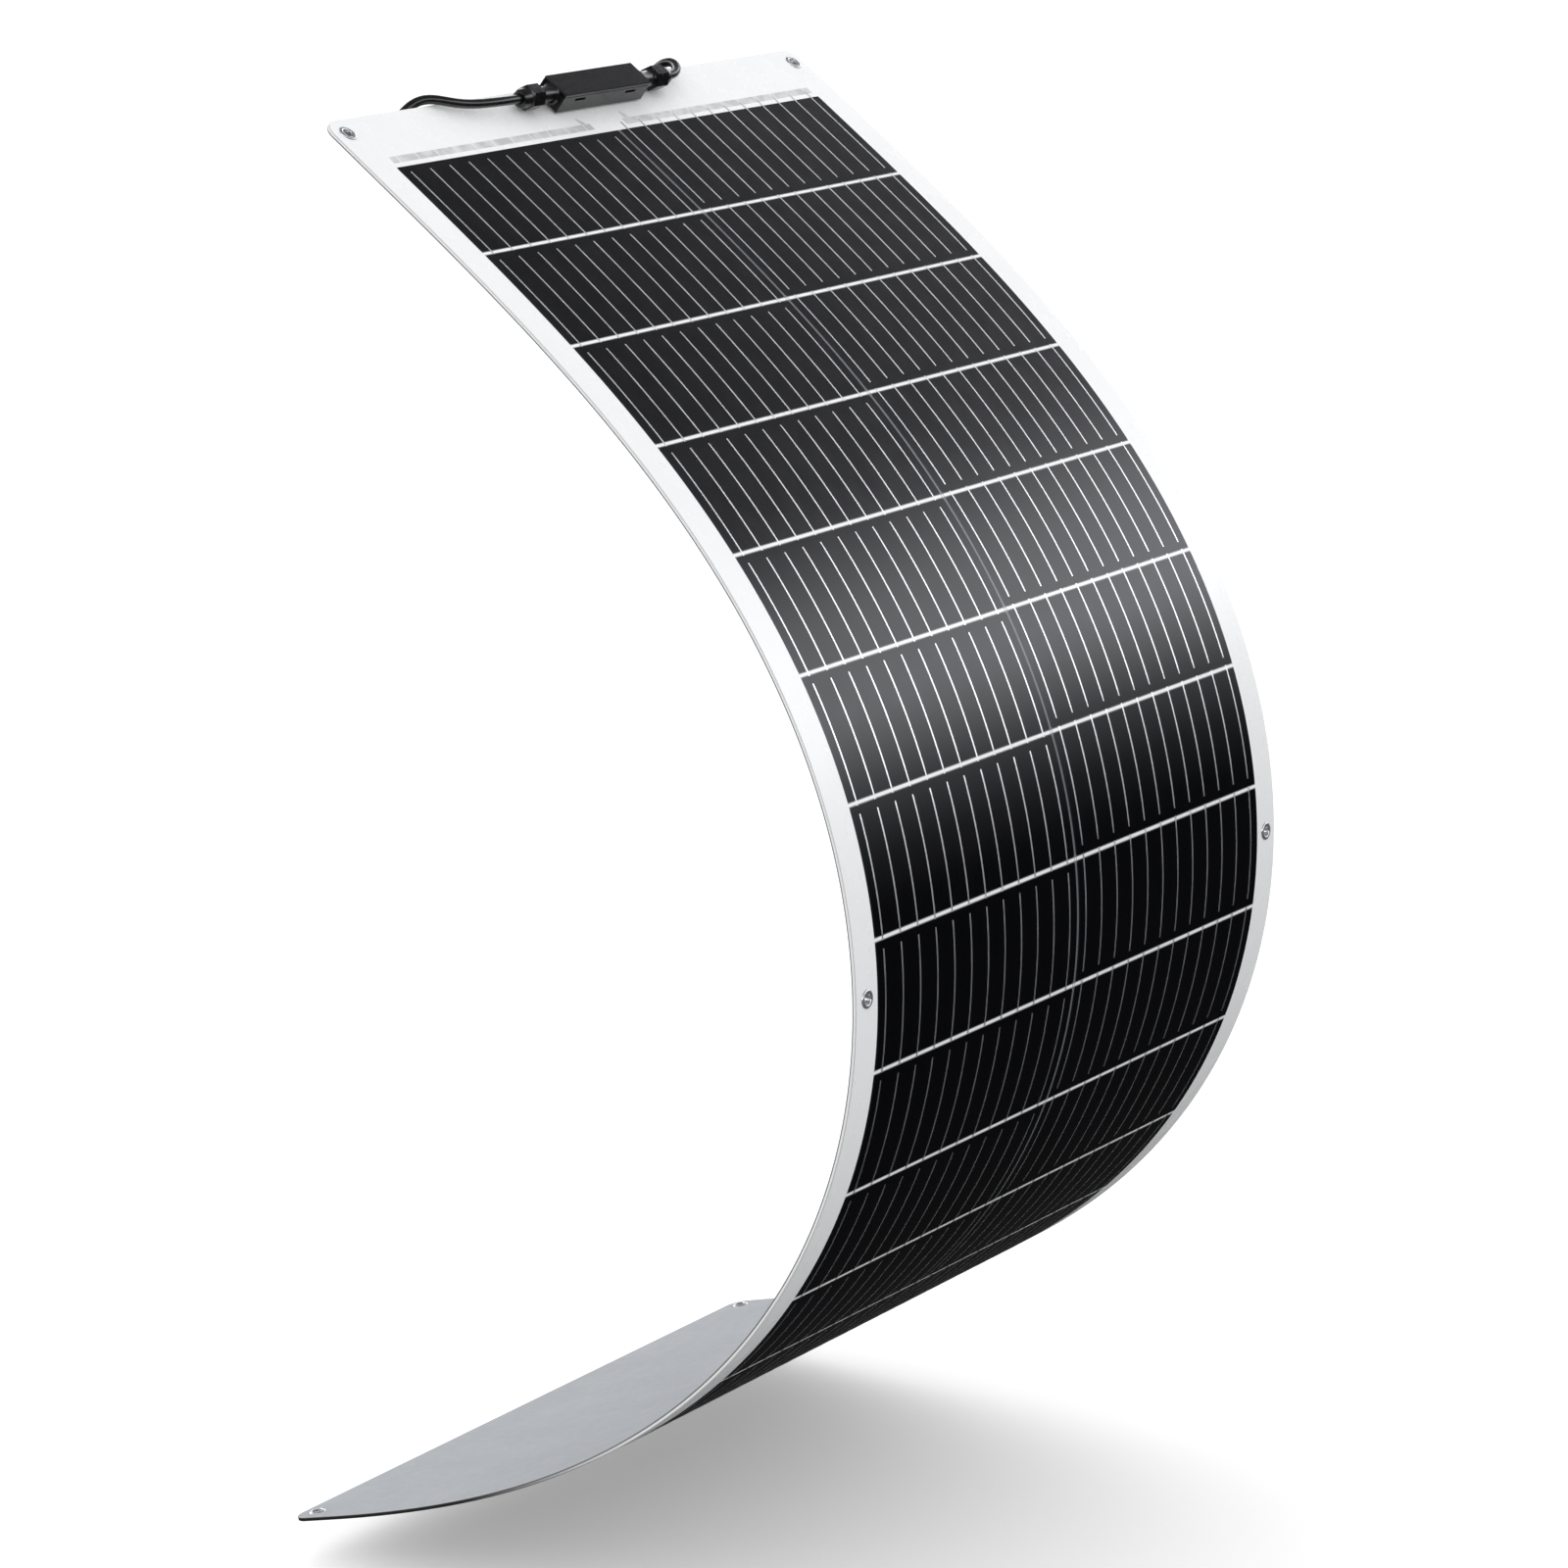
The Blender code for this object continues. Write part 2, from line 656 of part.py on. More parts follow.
def make_gland(side, sign, nut_paint, seal_paint):
    """Nut and rubber seal of one gland. Both are turned about the gland's axis."""
    facing = Matrix.Rotation(0.0 if sign > 0 else math.pi, 4, "X")
    axis = cross_turn(BOX_ACROSS) @ facing
    bore = THREAD_RADIUS + GAP
    lip = LEAD_DIAMETER / 2 + 2 * GAP
    start = COLLAR_END + GAP
    seal_start = THREAD_END + GAP
    seal_end = seal_start + SEAL_LENGTH
    corner = GLAND_FLATS / 2 / math.cos(math.pi / 6)
    outline = [
        (corner, start),
        (corner, start + NUT_SHOULDER),
        (0.0060, start + NUT_SHOULDER + 0.0007),
        (0.0055, NUT_END - 0.0010),
        (0.0047, NUT_END),
        (lip, NUT_END),
        (lip, seal_end + GAP),
        (bore, seal_end + GAP),
        (bore, start),
    ]
    nut = turned(f"gland_nut_{side}", outline, 24, nut_paint, axis)
    ends = sorted((sign * (start - OVERSHOOT), sign * (NUT_END + OVERSHOOT)))
    cut = hexagon(f"gland_flats_{side}", GLAND_FLATS, ends[0], ends[1])
    cut.matrix_world = box_frame_matrix()
    combine(nut, cut, "INTERSECT")
    ring = [
        (LEAD_DIAMETER / 2 + GAP, seal_start),
        (THREAD_RADIUS, seal_start),
        (THREAD_RADIUS, seal_end),
        (LEAD_DIAMETER / 2 + GAP, seal_end),
    ]
    turned(f"gland_seal_{side}", ring, 20, seal_paint, axis)


def box_frame_matrix():
    """The junction box's frame: x across, y towards the top edge, z off the sheet."""
    up = normal(BOX_ARC)
    across = Vector((0.0, 1.0, 0.0))
    towards_edge = up.cross(across)
    turn = Matrix((across, towards_edge, up)).transposed().to_4x4()
    return Matrix.Translation(on_sheet(BOX_ARC, BOX_ACROSS, 0.0)) @ turn


def smooth_curve(points, spacing):
    """Points every spacing or so on a natural cubic spline through the route's points."""
    knots = np.array([tuple(point) for point in points], dtype=float)
    chords = np.linalg.norm(np.diff(knots, axis=0), axis=1)
    times = np.concatenate([[0.0], np.cumsum(chords)])
    count = len(knots)
    system = np.zeros((count, count))
    right = np.zeros((count, 3))
    system[0, 0] = 1.0
    system[-1, -1] = 1.0
    for i in range(1, count - 1):
        before = chords[i - 1]
        after = chords[i]
        system[i, i - 1 : i + 2] = (before, 2 * (before + after), after)
        right[i] = 6 * ((knots[i + 1] - knots[i]) / after - (knots[i] - knots[i - 1]) / before)
    second = np.linalg.solve(system, right)
    steps = max(2, int(round(times[-1] / spacing)))
    result = []
    for time in np.linspace(0.0, times[-1], steps + 1):
        i = min(int(np.searchsorted(times, time, side="right")) - 1, count - 2)
        width = chords[i]
        u = (times[i + 1] - time) / width
        v = 1.0 - u
        point = u * knots[i] + v * knots[i + 1]
        point += ((u**3 - u) * second[i] + (v**3 - v) * second[i + 1]) * width**2 / 6
        result.append(Vector(point))
    return result


def left_route():
    on = [on_sheet(*place) for place in LEFT_ON_SHEET]
    end = Vector((LEFT_COIL_X, COIL_ACROSS - COIL_CLEARANCE, COIL_HEIGHT + COIL_RADIUS))
    return on + [Vector(point) for point in LEFT_HANGING] + [end]


def right_route():
    on = [on_sheet(*place) for place in RIGHT_ON_SHEET]
    end = Vector((RIGHT_COIL_X, COIL_ACROSS + COIL_RADIUS, COIL_HEIGHT + COIL_CLEARANCE))
    return on + [Vector(point) for point in RIGHT_HANGING] + [end]


def tube(name, points, paint):
    """Round cord along points, with filled ends."""
    line = bpy.data.curves.new(name, "CURVE")
    line.dimensions = "3D"
    line.bevel_depth = LEAD_DIAMETER / 2
    line.bevel_resolution = 2
    line.use_fill_caps = True
    spline = line.splines.new("POLY")
    spline.points.add(len(points) - 1)
    for slot, point in zip(spline.points, points):
        slot.co = (*point, 1.0)
    return add_object(name, line, paint)


def make_coil(name, first_x, last_x, paint):
    """Solid ring that holds the turns, its axis along X."""
    low, high = sorted((first_x, last_x))
    reach = LEAD_DIAMETER / 2 + CORD_PLAY
    low -= reach
    high += reach
    outline = [
        (COIL_RADIUS - reach, low),
        (COIL_RADIUS + reach, low),
        (COIL_RADIUS + reach, high),
        (COIL_RADIUS - reach, high),
    ]
    lay = Matrix.Rotation(math.pi / 2, 4, "Y")
    place = Matrix.Translation((0.0, COIL_ACROSS, COIL_HEIGHT)) @ lay
    return turned(name, outline, 32, paint, place)


def make_connector(name, x, top, socket, paint):
    """Round plug-in connector hanging from its lead, with a socket or a nose below."""
    r = CONNECTOR_RADIUS
    waist = CONNECTOR_WAIST
    foot = -CONNECTOR_LENGTH
    body = [(0, 0), (0.0045, 0), (0.0062, -0.003), (r, -0.006), (r, -0.019), (waist, -0.020)]
    if socket:
        roof = foot + SOCKET_DEPTH
        body += [(waist, -0.026), (r, -0.028), (r, foot)]
        body += [(SOCKET_RADIUS, foot), (SOCKET_RADIUS, roof), (0, roof)]
    else:
        body += [(waist, -0.034), (NOSE_RADIUS, -0.035), (NOSE_RADIUS, foot + 0.001)]
        body += [(NOSE_RADIUS - 0.0008, foot), (0, foot)]
    place = Matrix.Translation((x, COIL_ACROSS + COIL_RADIUS, top))
    return turned(name, body, 20, paint, place)


def coil_ends():
    """X of the last turn of the left and of the right lead."""
    return LEFT_COIL_X + LEFT_TURNS * COIL_PITCH, RIGHT_COIL_X - RIGHT_TURNS * COIL_PITCH


def make_tie(paint):
    """Closed band around both coils at their lowest point."""
    left_end, right_end = coil_ends()
    reach = LEAD_DIAMETER / 2 + CORD_PLAY + GAP
    middle = COIL_HEIGHT - COIL_RADIUS
    low = Vector((right_end - reach, COIL_ACROSS - TIE_HALF_WIDTH, middle - reach))
    high = Vector((left_end + reach, COIL_ACROSS + TIE_HALF_WIDTH, middle + reach))
    wrap = Vector((TIE_THICKNESS, 0, TIE_THICKNESS))
    made = block("cable_tie", low - wrap, high + wrap, paint)
    room = Vector((0, OVERSHOOT, 0))
    combine(made, block("tie_inside", low - room, high + room), "DIFFERENCE")


def make_leads(cable_paint, connector_paint, tie_paint):
    tail_start = COIL_HEIGHT - COIL_CLEARANCE
    across = COIL_ACROSS + COIL_RADIUS
    left_end, right_end = coil_ends()
    sides = (
        ("left", left_route(), LEFT_COIL_X, left_end, LEFT_TAIL_END, True),
        ("right", right_route(), RIGHT_COIL_X, right_end, RIGHT_TAIL_END, False),
    )
    for side, route, first_x, last_x, tail_end, socket in sides:
        tube(f"cable_{side}", smooth_curve(route, LEAD_SPACING), cable_paint)
        make_coil(f"coil_{side}", first_x, last_x, cable_paint)
        tail = [Vector((last_x, across, tail_start)), Vector((last_x, across, tail_end))]
        tube(f"tail_{side}", tail, cable_paint)
        make_connector(f"connector_{side}", last_x, tail_end - GAP, socket, connector_paint)
    make_tie(tie_paint)


def main():
    clear_scene()
    white = material("white_laminate", (0.86, 0.87, 0.88), 0.30)
    silicon = material("black_silicon", (0.012, 0.013, 0.018), 0.22)
    tinned = material("tinned_copper", (0.72, 0.72, 0.70), 0.35, 1.0)
    steel = material("stainless_steel", (0.62, 0.62, 0.63), 0.28, 1.0)
    black = material("black_plastic", (0.018, 0.018, 0.019), 0.42)
    dark = material("diode_epoxy", (0.03, 0.03, 0.03), 0.5)
    rubber = material("grey_rubber", (0.05, 0.05, 0.05), 0.75)
    adhesive = material("white_silicone", (0.80, 0.80, 0.78), 0.6)
    jacket = material("cable_jacket", (0.012, 0.012, 0.012), 0.30)

    hinges = make_hinges()
    sheets = {row: make_laminate(row, hinges, white) for row in range(1, ROWS + 1)}
    for row in range(1, ROWS + 1):
        make_cell_row(row, hinges, silicon)
    make_top_ribbons(sheets[1], tinned)
    make_bottom_ribbon(sheets[ROWS], hinges, tinned)
    make_eyelets(sheets, hinges, steel)

    frame = bpy.data.objects.new("jbox_frame", None)
    bpy.context.scene.collection.objects.link(frame)
    frame.matrix_world = box_frame_matrix()
    make_adhesive(frame, adhesive)
    make_box_base(frame, black)
    make_box_lid(frame, black)
    make_box_inside(frame, tinned, dark)
    make_gland("left", -1, black, rubber)
    make_gland("right", 1, black, rubber)
    make_leads(jacket, black, black)


main()
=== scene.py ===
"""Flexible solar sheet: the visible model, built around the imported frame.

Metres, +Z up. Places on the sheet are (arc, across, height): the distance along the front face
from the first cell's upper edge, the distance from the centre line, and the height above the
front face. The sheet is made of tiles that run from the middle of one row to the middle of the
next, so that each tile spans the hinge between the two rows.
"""
import math

import bmesh
import bpy
import numpy as np
from mathutils import Matrix, Vector


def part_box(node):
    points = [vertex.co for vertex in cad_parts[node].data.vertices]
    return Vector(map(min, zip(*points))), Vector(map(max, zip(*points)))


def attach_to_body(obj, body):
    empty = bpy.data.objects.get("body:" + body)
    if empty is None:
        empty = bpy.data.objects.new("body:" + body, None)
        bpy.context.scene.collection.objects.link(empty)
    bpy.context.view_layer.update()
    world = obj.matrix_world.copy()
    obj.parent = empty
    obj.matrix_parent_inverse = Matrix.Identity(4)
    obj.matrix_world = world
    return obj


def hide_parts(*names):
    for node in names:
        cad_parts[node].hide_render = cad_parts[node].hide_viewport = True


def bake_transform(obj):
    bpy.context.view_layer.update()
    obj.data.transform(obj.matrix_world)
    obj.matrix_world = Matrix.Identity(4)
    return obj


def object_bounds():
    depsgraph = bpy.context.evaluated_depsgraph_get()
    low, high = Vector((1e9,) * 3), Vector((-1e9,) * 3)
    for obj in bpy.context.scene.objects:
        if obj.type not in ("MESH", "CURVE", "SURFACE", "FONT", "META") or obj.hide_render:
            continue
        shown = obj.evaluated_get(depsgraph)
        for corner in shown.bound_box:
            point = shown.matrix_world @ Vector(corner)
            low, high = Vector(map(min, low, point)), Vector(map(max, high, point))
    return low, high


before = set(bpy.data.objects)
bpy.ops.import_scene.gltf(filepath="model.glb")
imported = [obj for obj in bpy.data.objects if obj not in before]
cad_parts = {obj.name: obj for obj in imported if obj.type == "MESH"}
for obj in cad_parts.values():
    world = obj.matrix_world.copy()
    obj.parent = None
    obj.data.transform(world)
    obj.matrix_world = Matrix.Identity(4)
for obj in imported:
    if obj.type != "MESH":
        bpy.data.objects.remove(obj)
CAD_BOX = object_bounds()

# Cells and sheet
ROWS = 15
CELL_WIDTH = 0.210
CELL_HEIGHT = 0.070
COLUMN_GAP = 0.002
ROW_GAP = 0.003
SIDE_MARGIN = 0.0215
TOP_MARGIN = 0.0415
BOTTOM_MARGIN = 0.0270
THICKNESS = 0.0025
CORNER_RADIUS = 0.010
EDGE_ROUND = 0.0005
CELL_CORNER = 0.0015
TILE_STEPS = 24
CORNER_STEPS = 10

# The bend: the front face's slope along the sheet is a mean turn plus a tighter fold
MID_ARC = 0.6118
MID_SLOPE = math.radians(-102.4)
MEAN_TURN = math.radians(82.3)
FOLD_TURN = math.radians(-140.7)
FOLD_SPREAD = 0.5168
ARC_STEP = 0.0005
SAMPLE_CHUNK = 2000
ALONG_SHEET = 0.97

# Layers above the front face
CELL_TOP = 0.00006
CELL_FOOT = -0.00004
WIRE_TOP = 0.00016
RIBBON_TOP = 0.00005

# Wires on the cells
WIRES = 12
WIRE_MARGIN = 0.0080
WIRE_SPACING = (CELL_WIDTH - 2 * WIRE_MARGIN) / (WIRES - 1)
WIRE_HALF_WIDTH = 0.00060
WIRE_SHORT = 0.0045
WIRE_STEP = 0.0030

# Ribbons in the top and bottom margins
RIBBON_WIDTH = 0.005
RIBBON_OFFSET = 0.006
RIBBON_SIDE_INSET = 0.002
LEFT_TAB_ACROSS = -0.025
RIGHT_TAB_ACROSS = 0.0185
TAB_STUB = 0.003

# Eyelets
EYELET_INSET = 0.0110
EYELET_HOLE_RADIUS = 0.0030
EYELET_BARREL_RADIUS = 0.0035
EYELET_FLANGE_RADIUS = 0.0053
EYELET_RISE = 0.0008
# How far a cutting tool reaches past what it cuts
CUT_PAST = 0.002

# Junction box, in its own frame: x across the sheet, y towards the top edge, z off the sheet
BOX_ARC = -0.0285
BOX_ACROSS = 0.0015
BOX_LENGTH = 0.085
BOX_DEPTH = 0.018
HALF_LENGTH = BOX_LENGTH / 2
HALF_DEPTH = BOX_DEPTH / 2
BOX_WALL = 0.0016
BASE_BOTTOM = 0.0014
BASE_TOP = 0.0120
LID_TOP = 0.0143
SLOT_ACROSS = 0.025
SLOT_WIDTH = 0.0095
SLOT_BOTTOM = 0.0090
SLOT_TOP = 0.0104
SEAM = 0.0003

# Cable glands
GLAND_HEIGHT = 0.0080
GLAND_FLATS = 0.0130
NECK_RADIUS = 0.0050
COLLAR_START = 0.0565
COLLAR_END = 0.0603
THREAD_RADIUS = 0.0049
THREAD_END = 0.0660
THREAD_TURNS = 6
NUT_START = 0.0606
NUT_END = 0.0730

# Leads
LEAD_DIAMETER = 0.0054
LEAD_START = 0.0500
LEAD_STEP = 0.0025
COIL_RADIUS = 0.030
COIL_PITCH = 0.0056
COIL_ACROSS = 0.068
COIL_HEIGHT = -0.057
RIGHT_COIL_X = -0.0200
RIGHT_TURNS = 4.0
LEFT_COIL_X = -0.0138
LEFT_TURNS = 2.25
COIL_CLEARANCE = 0.0185
RIGHT_TAIL_END = -0.082
LEFT_TAIL_END = -0.170
CONNECTOR_LENGTH = 0.052
CONNECTOR_RADIUS = 0.0080
TURN_STEPS = 48
BEHIND_EDGE = -0.006

# The leads' routes that lie on the sheet: arc, across, height
LEFT_ON_SHEET = [
    (BOX_ARC, BOX_ACROSS - LEAD_START, 0.0080),
    (BOX_ARC, BOX_ACROSS - 0.0620, 0.0080),
    (BOX_ARC, BOX_ACROSS - 0.0745, 0.0080),
    (-0.0289, -0.0860, 0.0077),
    (-0.0305, -0.0990, 0.0066),
    (-0.0334, -0.1125, 0.0052),
    (-0.0378, -0.1255, 0.0046),
]
RIGHT_ON_SHEET = [
    (BOX_ARC, BOX_ACROSS + LEAD_START, 0.0080),
    (BOX_ARC, BOX_ACROSS + 0.0620, 0.0080),
    (BOX_ARC, BOX_ACROSS + 0.0735, 0.0080),
]
# Where the leads turn over the top edge and hang behind it: x, y, z
LEFT_HANGING = [
    (-0.0108, -0.1385, 0.0106),
    (-0.0160, -0.1492, 0.0044),
    (-0.0188, -0.1555, -0.0065),
    (-0.0199, -0.1550, -0.0190),
    (-0.0198, -0.1452, -0.0302),
    (-0.0192, -0.1285, -0.0388),
    (-0.0185, -0.1072, -0.0440),
    (-0.0177, -0.0800, -0.0462),
    (-0.0168, -0.0500, -0.0446),
    (-0.0158, -0.0180, -0.0400),
    (-0.0149, 0.0120, -0.0345),
    (-0.0142, 0.0400, -0.0295),
]
RIGHT_HANGING = [
    (0.0069, 0.0805, 0.0064),
    (0.0058, 0.0862, 0.0072),
    (0.0034, 0.0912, 0.0089),
    (-0.0002, 0.0950, 0.0107),
    (-0.0050, 0.0972, 0.0116),
    (-0.0105, 0.0981, 0.0105),
    (-0.0155, 0.0982, 0.0072),
    (-0.0189, 0.0981, 0.0022),
    (-0.0201, 0.0980, -0.0040),
    (-0.0201, 0.0980, -0.0115),
    (-0.0200, 0.0980, -0.0195),
]

PITCH = CELL_HEIGHT + ROW_GAP
CELLS_END = ROWS * PITCH - ROW_GAP
SHEET_START = -TOP_MARGIN
SHEET_END = CELLS_END + BOTTOM_MARGIN
HALF_CELLS = CELL_WIDTH + COLUMN_GAP / 2
HALF_WIDTH = HALF_CELLS + SIDE_MARGIN
EYELET_ACROSS = HALF_WIDTH - EYELET_INSET
EYELET_ARCS = {
    "top": SHEET_START + EYELET_INSET,
    "middle": (SHEET_START + SHEET_END) / 2,
    "bottom": SHEET_END - EYELET_INSET,
}
FLOOR_BELOW = 0.024

# The camera, and the area lights: place, target, size, power
CAMERA_PLACE = (1.8289, -2.6028, 0.3472)
CAMERA_AZIMUTH = 33.01
CAMERA_DROP = 13.30
CAMERA_LENS = 127.1
LIGHTS = {
    "key": ((-1.2, 1.4, 3.0), (0.15, 0.0, -0.4), (3.2, 3.2), 22.0),
    "front": ((2.8, -2.6, 1.3), (0.2, 0.0, -0.4), (2.6, 2.2), 12.0),
    "side": ((-0.6, -3.4, 0.9), (0.1, 0.0, -0.5), (2.4, 2.0), 8.0),
}

# The studio: its light, and what reflections show of it against the sine of the elevation
WORLD_LIGHT = 1.03
REFLECTION = 4.2
REFLECTED = [
    (-1.0, 0.004),
    (-0.06, 0.006),
    (0.04, 0.045),
    (0.15, 0.20),
    (0.28, 0.76),
    (0.40, 0.58),
    (0.49, 0.12),
    (0.60, 0.035),
    (1.0, 0.035),
]


# ---- the sheet's profile


def slope(arc):
    """Angle of the front face above +X, constant in the margins, which stay flat."""
    offset = np.clip(arc, 0.0, CELLS_END) - MID_ARC
    return MID_SLOPE + MEAN_TURN * offset + FOLD_TURN * np.tanh(offset / FOLD_SPREAD)


def integrate_profile():
    """The front face's x and z against arc, with x = z = 0 at the start of the sheet."""
    count = int(round((SHEET_END - SHEET_START) / ARC_STEP)) + 1
    arcs = np.linspace(SHEET_START, SHEET_END, count)
    middles = slope((arcs[1:] + arcs[:-1]) / 2)
    steps = np.diff(arcs)
    x = np.concatenate([[0.0], np.cumsum(np.cos(middles) * steps)])
    z = np.concatenate([[0.0], np.cumsum(np.sin(middles) * steps)])
    return arcs, x, z


ARCS, PROFILE_X, PROFILE_Z = integrate_profile()


def normal(arc):
    """Outward normal of the front face."""
    angle = float(slope(arc))
    return Vector((-math.sin(angle), 0.0, math.cos(angle)))


def profile_point(arc, height):
    """Point of the profile, still measured from the start of the sheet."""
    clamped = min(max(arc, SHEET_START), SHEET_END)
    angle = float(slope(arc))
    along = Vector((math.cos(angle), 0.0, math.sin(angle)))
    x = float(np.interp(clamped, ARCS, PROFILE_X))
    z = float(np.interp(clamped, ARCS, PROFILE_Z))
    return Vector((x, 0.0, z)) + along * (arc - clamped) + normal(arc) * height


ORIGIN = profile_point(EYELET_ARCS["top"], -THICKNESS / 2)


def on_sheet(arc, across, height):
    """World point of a place on the sheet."""
    return profile_point(arc, height) - ORIGIN + Vector((0.0, across, 0.0))


def arcs_of(points):
    """Arc and height of each world point, from the nearest sample of the profile."""
    samples = np.stack([PROFILE_X - ORIGIN.x, PROFILE_Z - ORIGIN.z], 1)
    slopes = slope(ARCS)
    flat = points[:, [0, 2]]
    found = np.empty(len(flat))
    above = np.empty(len(flat))
    for first in range(0, len(flat), SAMPLE_CHUNK):
        part = flat[first : first + SAMPLE_CHUNK]
        nearest = ((part[:, None] - samples[None]) ** 2).sum(2).argmin(1)
        away = part - samples[nearest]
        lead = away[:, 0] * np.cos(slopes[nearest]) + away[:, 1] * np.sin(slopes[nearest])
        rise = away[:, 1] * np.cos(slopes[nearest]) - away[:, 0] * np.sin(slopes[nearest])
        found[first : first + SAMPLE_CHUNK] = ARCS[nearest] + lead
        above[first : first + SAMPLE_CHUNK] = rise
    return found, above


def middle_of(row):
    """Arc of the middle of a row."""
    return (row - 1) * PITCH + CELL_HEIGHT / 2


def tile_span(tile):
    """First and last arc of a tile: tile 0 ends in the middle of row 1, tile 15 starts in row 15's."""
    first = SHEET_START if tile == 0 else middle_of(tile)
    last = SHEET_END if tile == ROWS else middle_of(tile + 1)
    return first, last


def half_width(arc):
    """Half the sheet's width, less at the rounded corners."""
    inside = min(arc - SHEET_START, SHEET_END - arc)
    if inside >= CORNER_RADIUS:
        return HALF_WIDTH
    missing = CORNER_RADIUS - inside
    return HALF_WIDTH - CORNER_RADIUS + math.sqrt(max(CORNER_RADIUS**2 - missing**2, 0.0))


# ---- materials


def mix_node(tree, factor, first, second):
    """Mixes two colours, each a tuple or a socket."""
    node = tree.nodes.new("ShaderNodeMix")
    node.data_type = "RGBA"
    tree.links.new(factor, node.inputs["Factor"])
    colours = [socket for socket in node.inputs if socket.type == "RGBA"]
    for socket, given in zip(colours, (first, second)):
        if isinstance(given, tuple):
            socket.default_value = (*given, 1.0)
        else:
            tree.links.new(given, socket)
    return [socket for socket in node.outputs if socket.type == "RGBA"][0]


class Nodes:
    """A material's node tree with short calls for what the materials below need."""

    def __init__(self, name, colour, roughness, metallic=0.0):
        self.made = bpy.data.materials.new(name)
        self.made.use_nodes = True
        self.tree = self.made.node_tree
        self.shader = self.tree.nodes["Principled BSDF"]
        self.shader.inputs["Base Color"].default_value = (*colour, 1.0)
        self.shader.inputs["Roughness"].default_value = roughness
        self.shader.inputs["Metallic"].default_value = metallic

    def set(self, **values):
        for name, value in values.items():
            self.shader.inputs[name.replace("_", " ")].default_value = value

    def link(self, source, target):
        self.tree.links.new(source, target)

    def value(self, operation, first, second=0.0):
        node = self.tree.nodes.new("ShaderNodeMath")
        node.operation = operation
        for socket, given in zip(node.inputs, (first, second)):
            if isinstance(given, (int, float)):
                socket.default_value = given
            else:
                self.link(given, socket)
        return node.outputs[0]

    def ramp(self, source, low, high, out_low=0.0, out_high=1.0):
        node = self.tree.nodes.new("ShaderNodeMapRange")
        node.interpolation_type = "SMOOTHSTEP"
        self.link(source, node.inputs["Value"])
        given = {"From Min": low, "From Max": high, "To Min": out_low, "To Max": out_high}
        for name, number in given.items():
            node.inputs[name].default_value = number
        return node.outputs["Result"]

    def mix(self, factor, first, second):
        return mix_node(self.tree, factor, first, second)

    def noise(self, scale, detail=3.0):
        """Noise over the object at rest."""
        place = self.tree.nodes.new("ShaderNodeTexCoord")
        node = self.tree.nodes.new("ShaderNodeTexNoise")
        node.inputs["Scale"].default_value = scale
        node.inputs["Detail"].default_value = detail
        self.link(place.outputs["Object"], node.inputs["Vector"])
        return node.outputs["Fac"]

    def attribute(self):
        """The three numbers of the attribute place."""
        node = self.tree.nodes.new("ShaderNodeAttribute")
        node.attribute_name = "place"
        split = self.tree.nodes.new("ShaderNodeSeparateXYZ")
        self.link(node.outputs["Vector"], split.inputs[0])
        return split.outputs

    def bump(self, height, strength, distance):
        node = self.tree.nodes.new("ShaderNodeBump")
        node.inputs["Strength"].default_value = strength
        node.inputs["Distance"].default_value = distance
        self.link(height, node.inputs["Height"])
        self.link(node.outputs["Normal"], self.shader.inputs["Normal"])

    def colour(self, source):
        self.link(source, self.shader.inputs["Base Color"])

    def clouds(self, scale, detail=3.0):
        """Soft patches, 0 to 1."""
        return self.ramp(self.noise(scale, detail), 0.3, 0.7)

    def clouded(self, scale, first, second):
        """Colour that drifts between two."""
        self.colour(self.mix(self.clouds(scale), first, second))

    def uneven(self, scale, low, high):
        """Roughness that drifts between two values."""
        self.link(self.ramp(self.noise(scale), 0.3, 0.7, low, high), self.shader.inputs["Roughness"])


def white_film():
    """Glossy white front film. Painted shade darkens it beside the cells, so the gaps look as narrow
    as in life.
    """
    m = Nodes("white_film", (0.88, 0.89, 0.90), 0.28)
    cloudy = m.ramp(m.noise(6.0), 0.35, 0.65)
    base = m.mix(cloudy, (0.875, 0.885, 0.895), (0.89, 0.897, 0.905))
    across, arc, _ = m.attribute()
    # Painted shade in the gaps, darker towards the cells on either side of each row and column gap
    soft = 0.0002
    aside = m.value("ABSOLUTE", across)
    row_place = m.value("MODULO", arc, PITCH)
    off_row = m.value("ABSOLUTE", m.value("SUBTRACT", row_place, CELL_HEIGHT + ROW_GAP / 2))
    past_sides = m.ramp(aside, HALF_CELLS, HALF_CELLS + soft, 1.0, 0.0)
    in_rows = m.value("MULTIPLY", m.ramp(arc, -soft, 0.0), past_sides)
    in_rows = m.value("MULTIPLY", in_rows, m.ramp(arc, CELLS_END, CELLS_END + soft, 1.0, 0.0))
    row_shade = m.value("MULTIPLY", m.ramp(off_row, 0.0006, 0.0012), in_rows)
    column_end = m.ramp(aside, 0.0012, 0.0014, 1.0, 0.0)
    column_shade = m.value("MULTIPLY", m.ramp(aside, 0.0006, 0.0010), column_end)
    column_shade = m.value("MULTIPLY", column_shade, in_rows)
    shade = m.value("MAXIMUM", row_shade, column_shade)
    m.colour(m.mix(m.value("MULTIPLY", shade, 0.9), base, (0.05, 0.052, 0.056)))
    m.uneven(40.0, 0.24, 0.30)
    m.bump(m.noise(260.0, 1.0), 0.015, 0.0001)
    return m.made


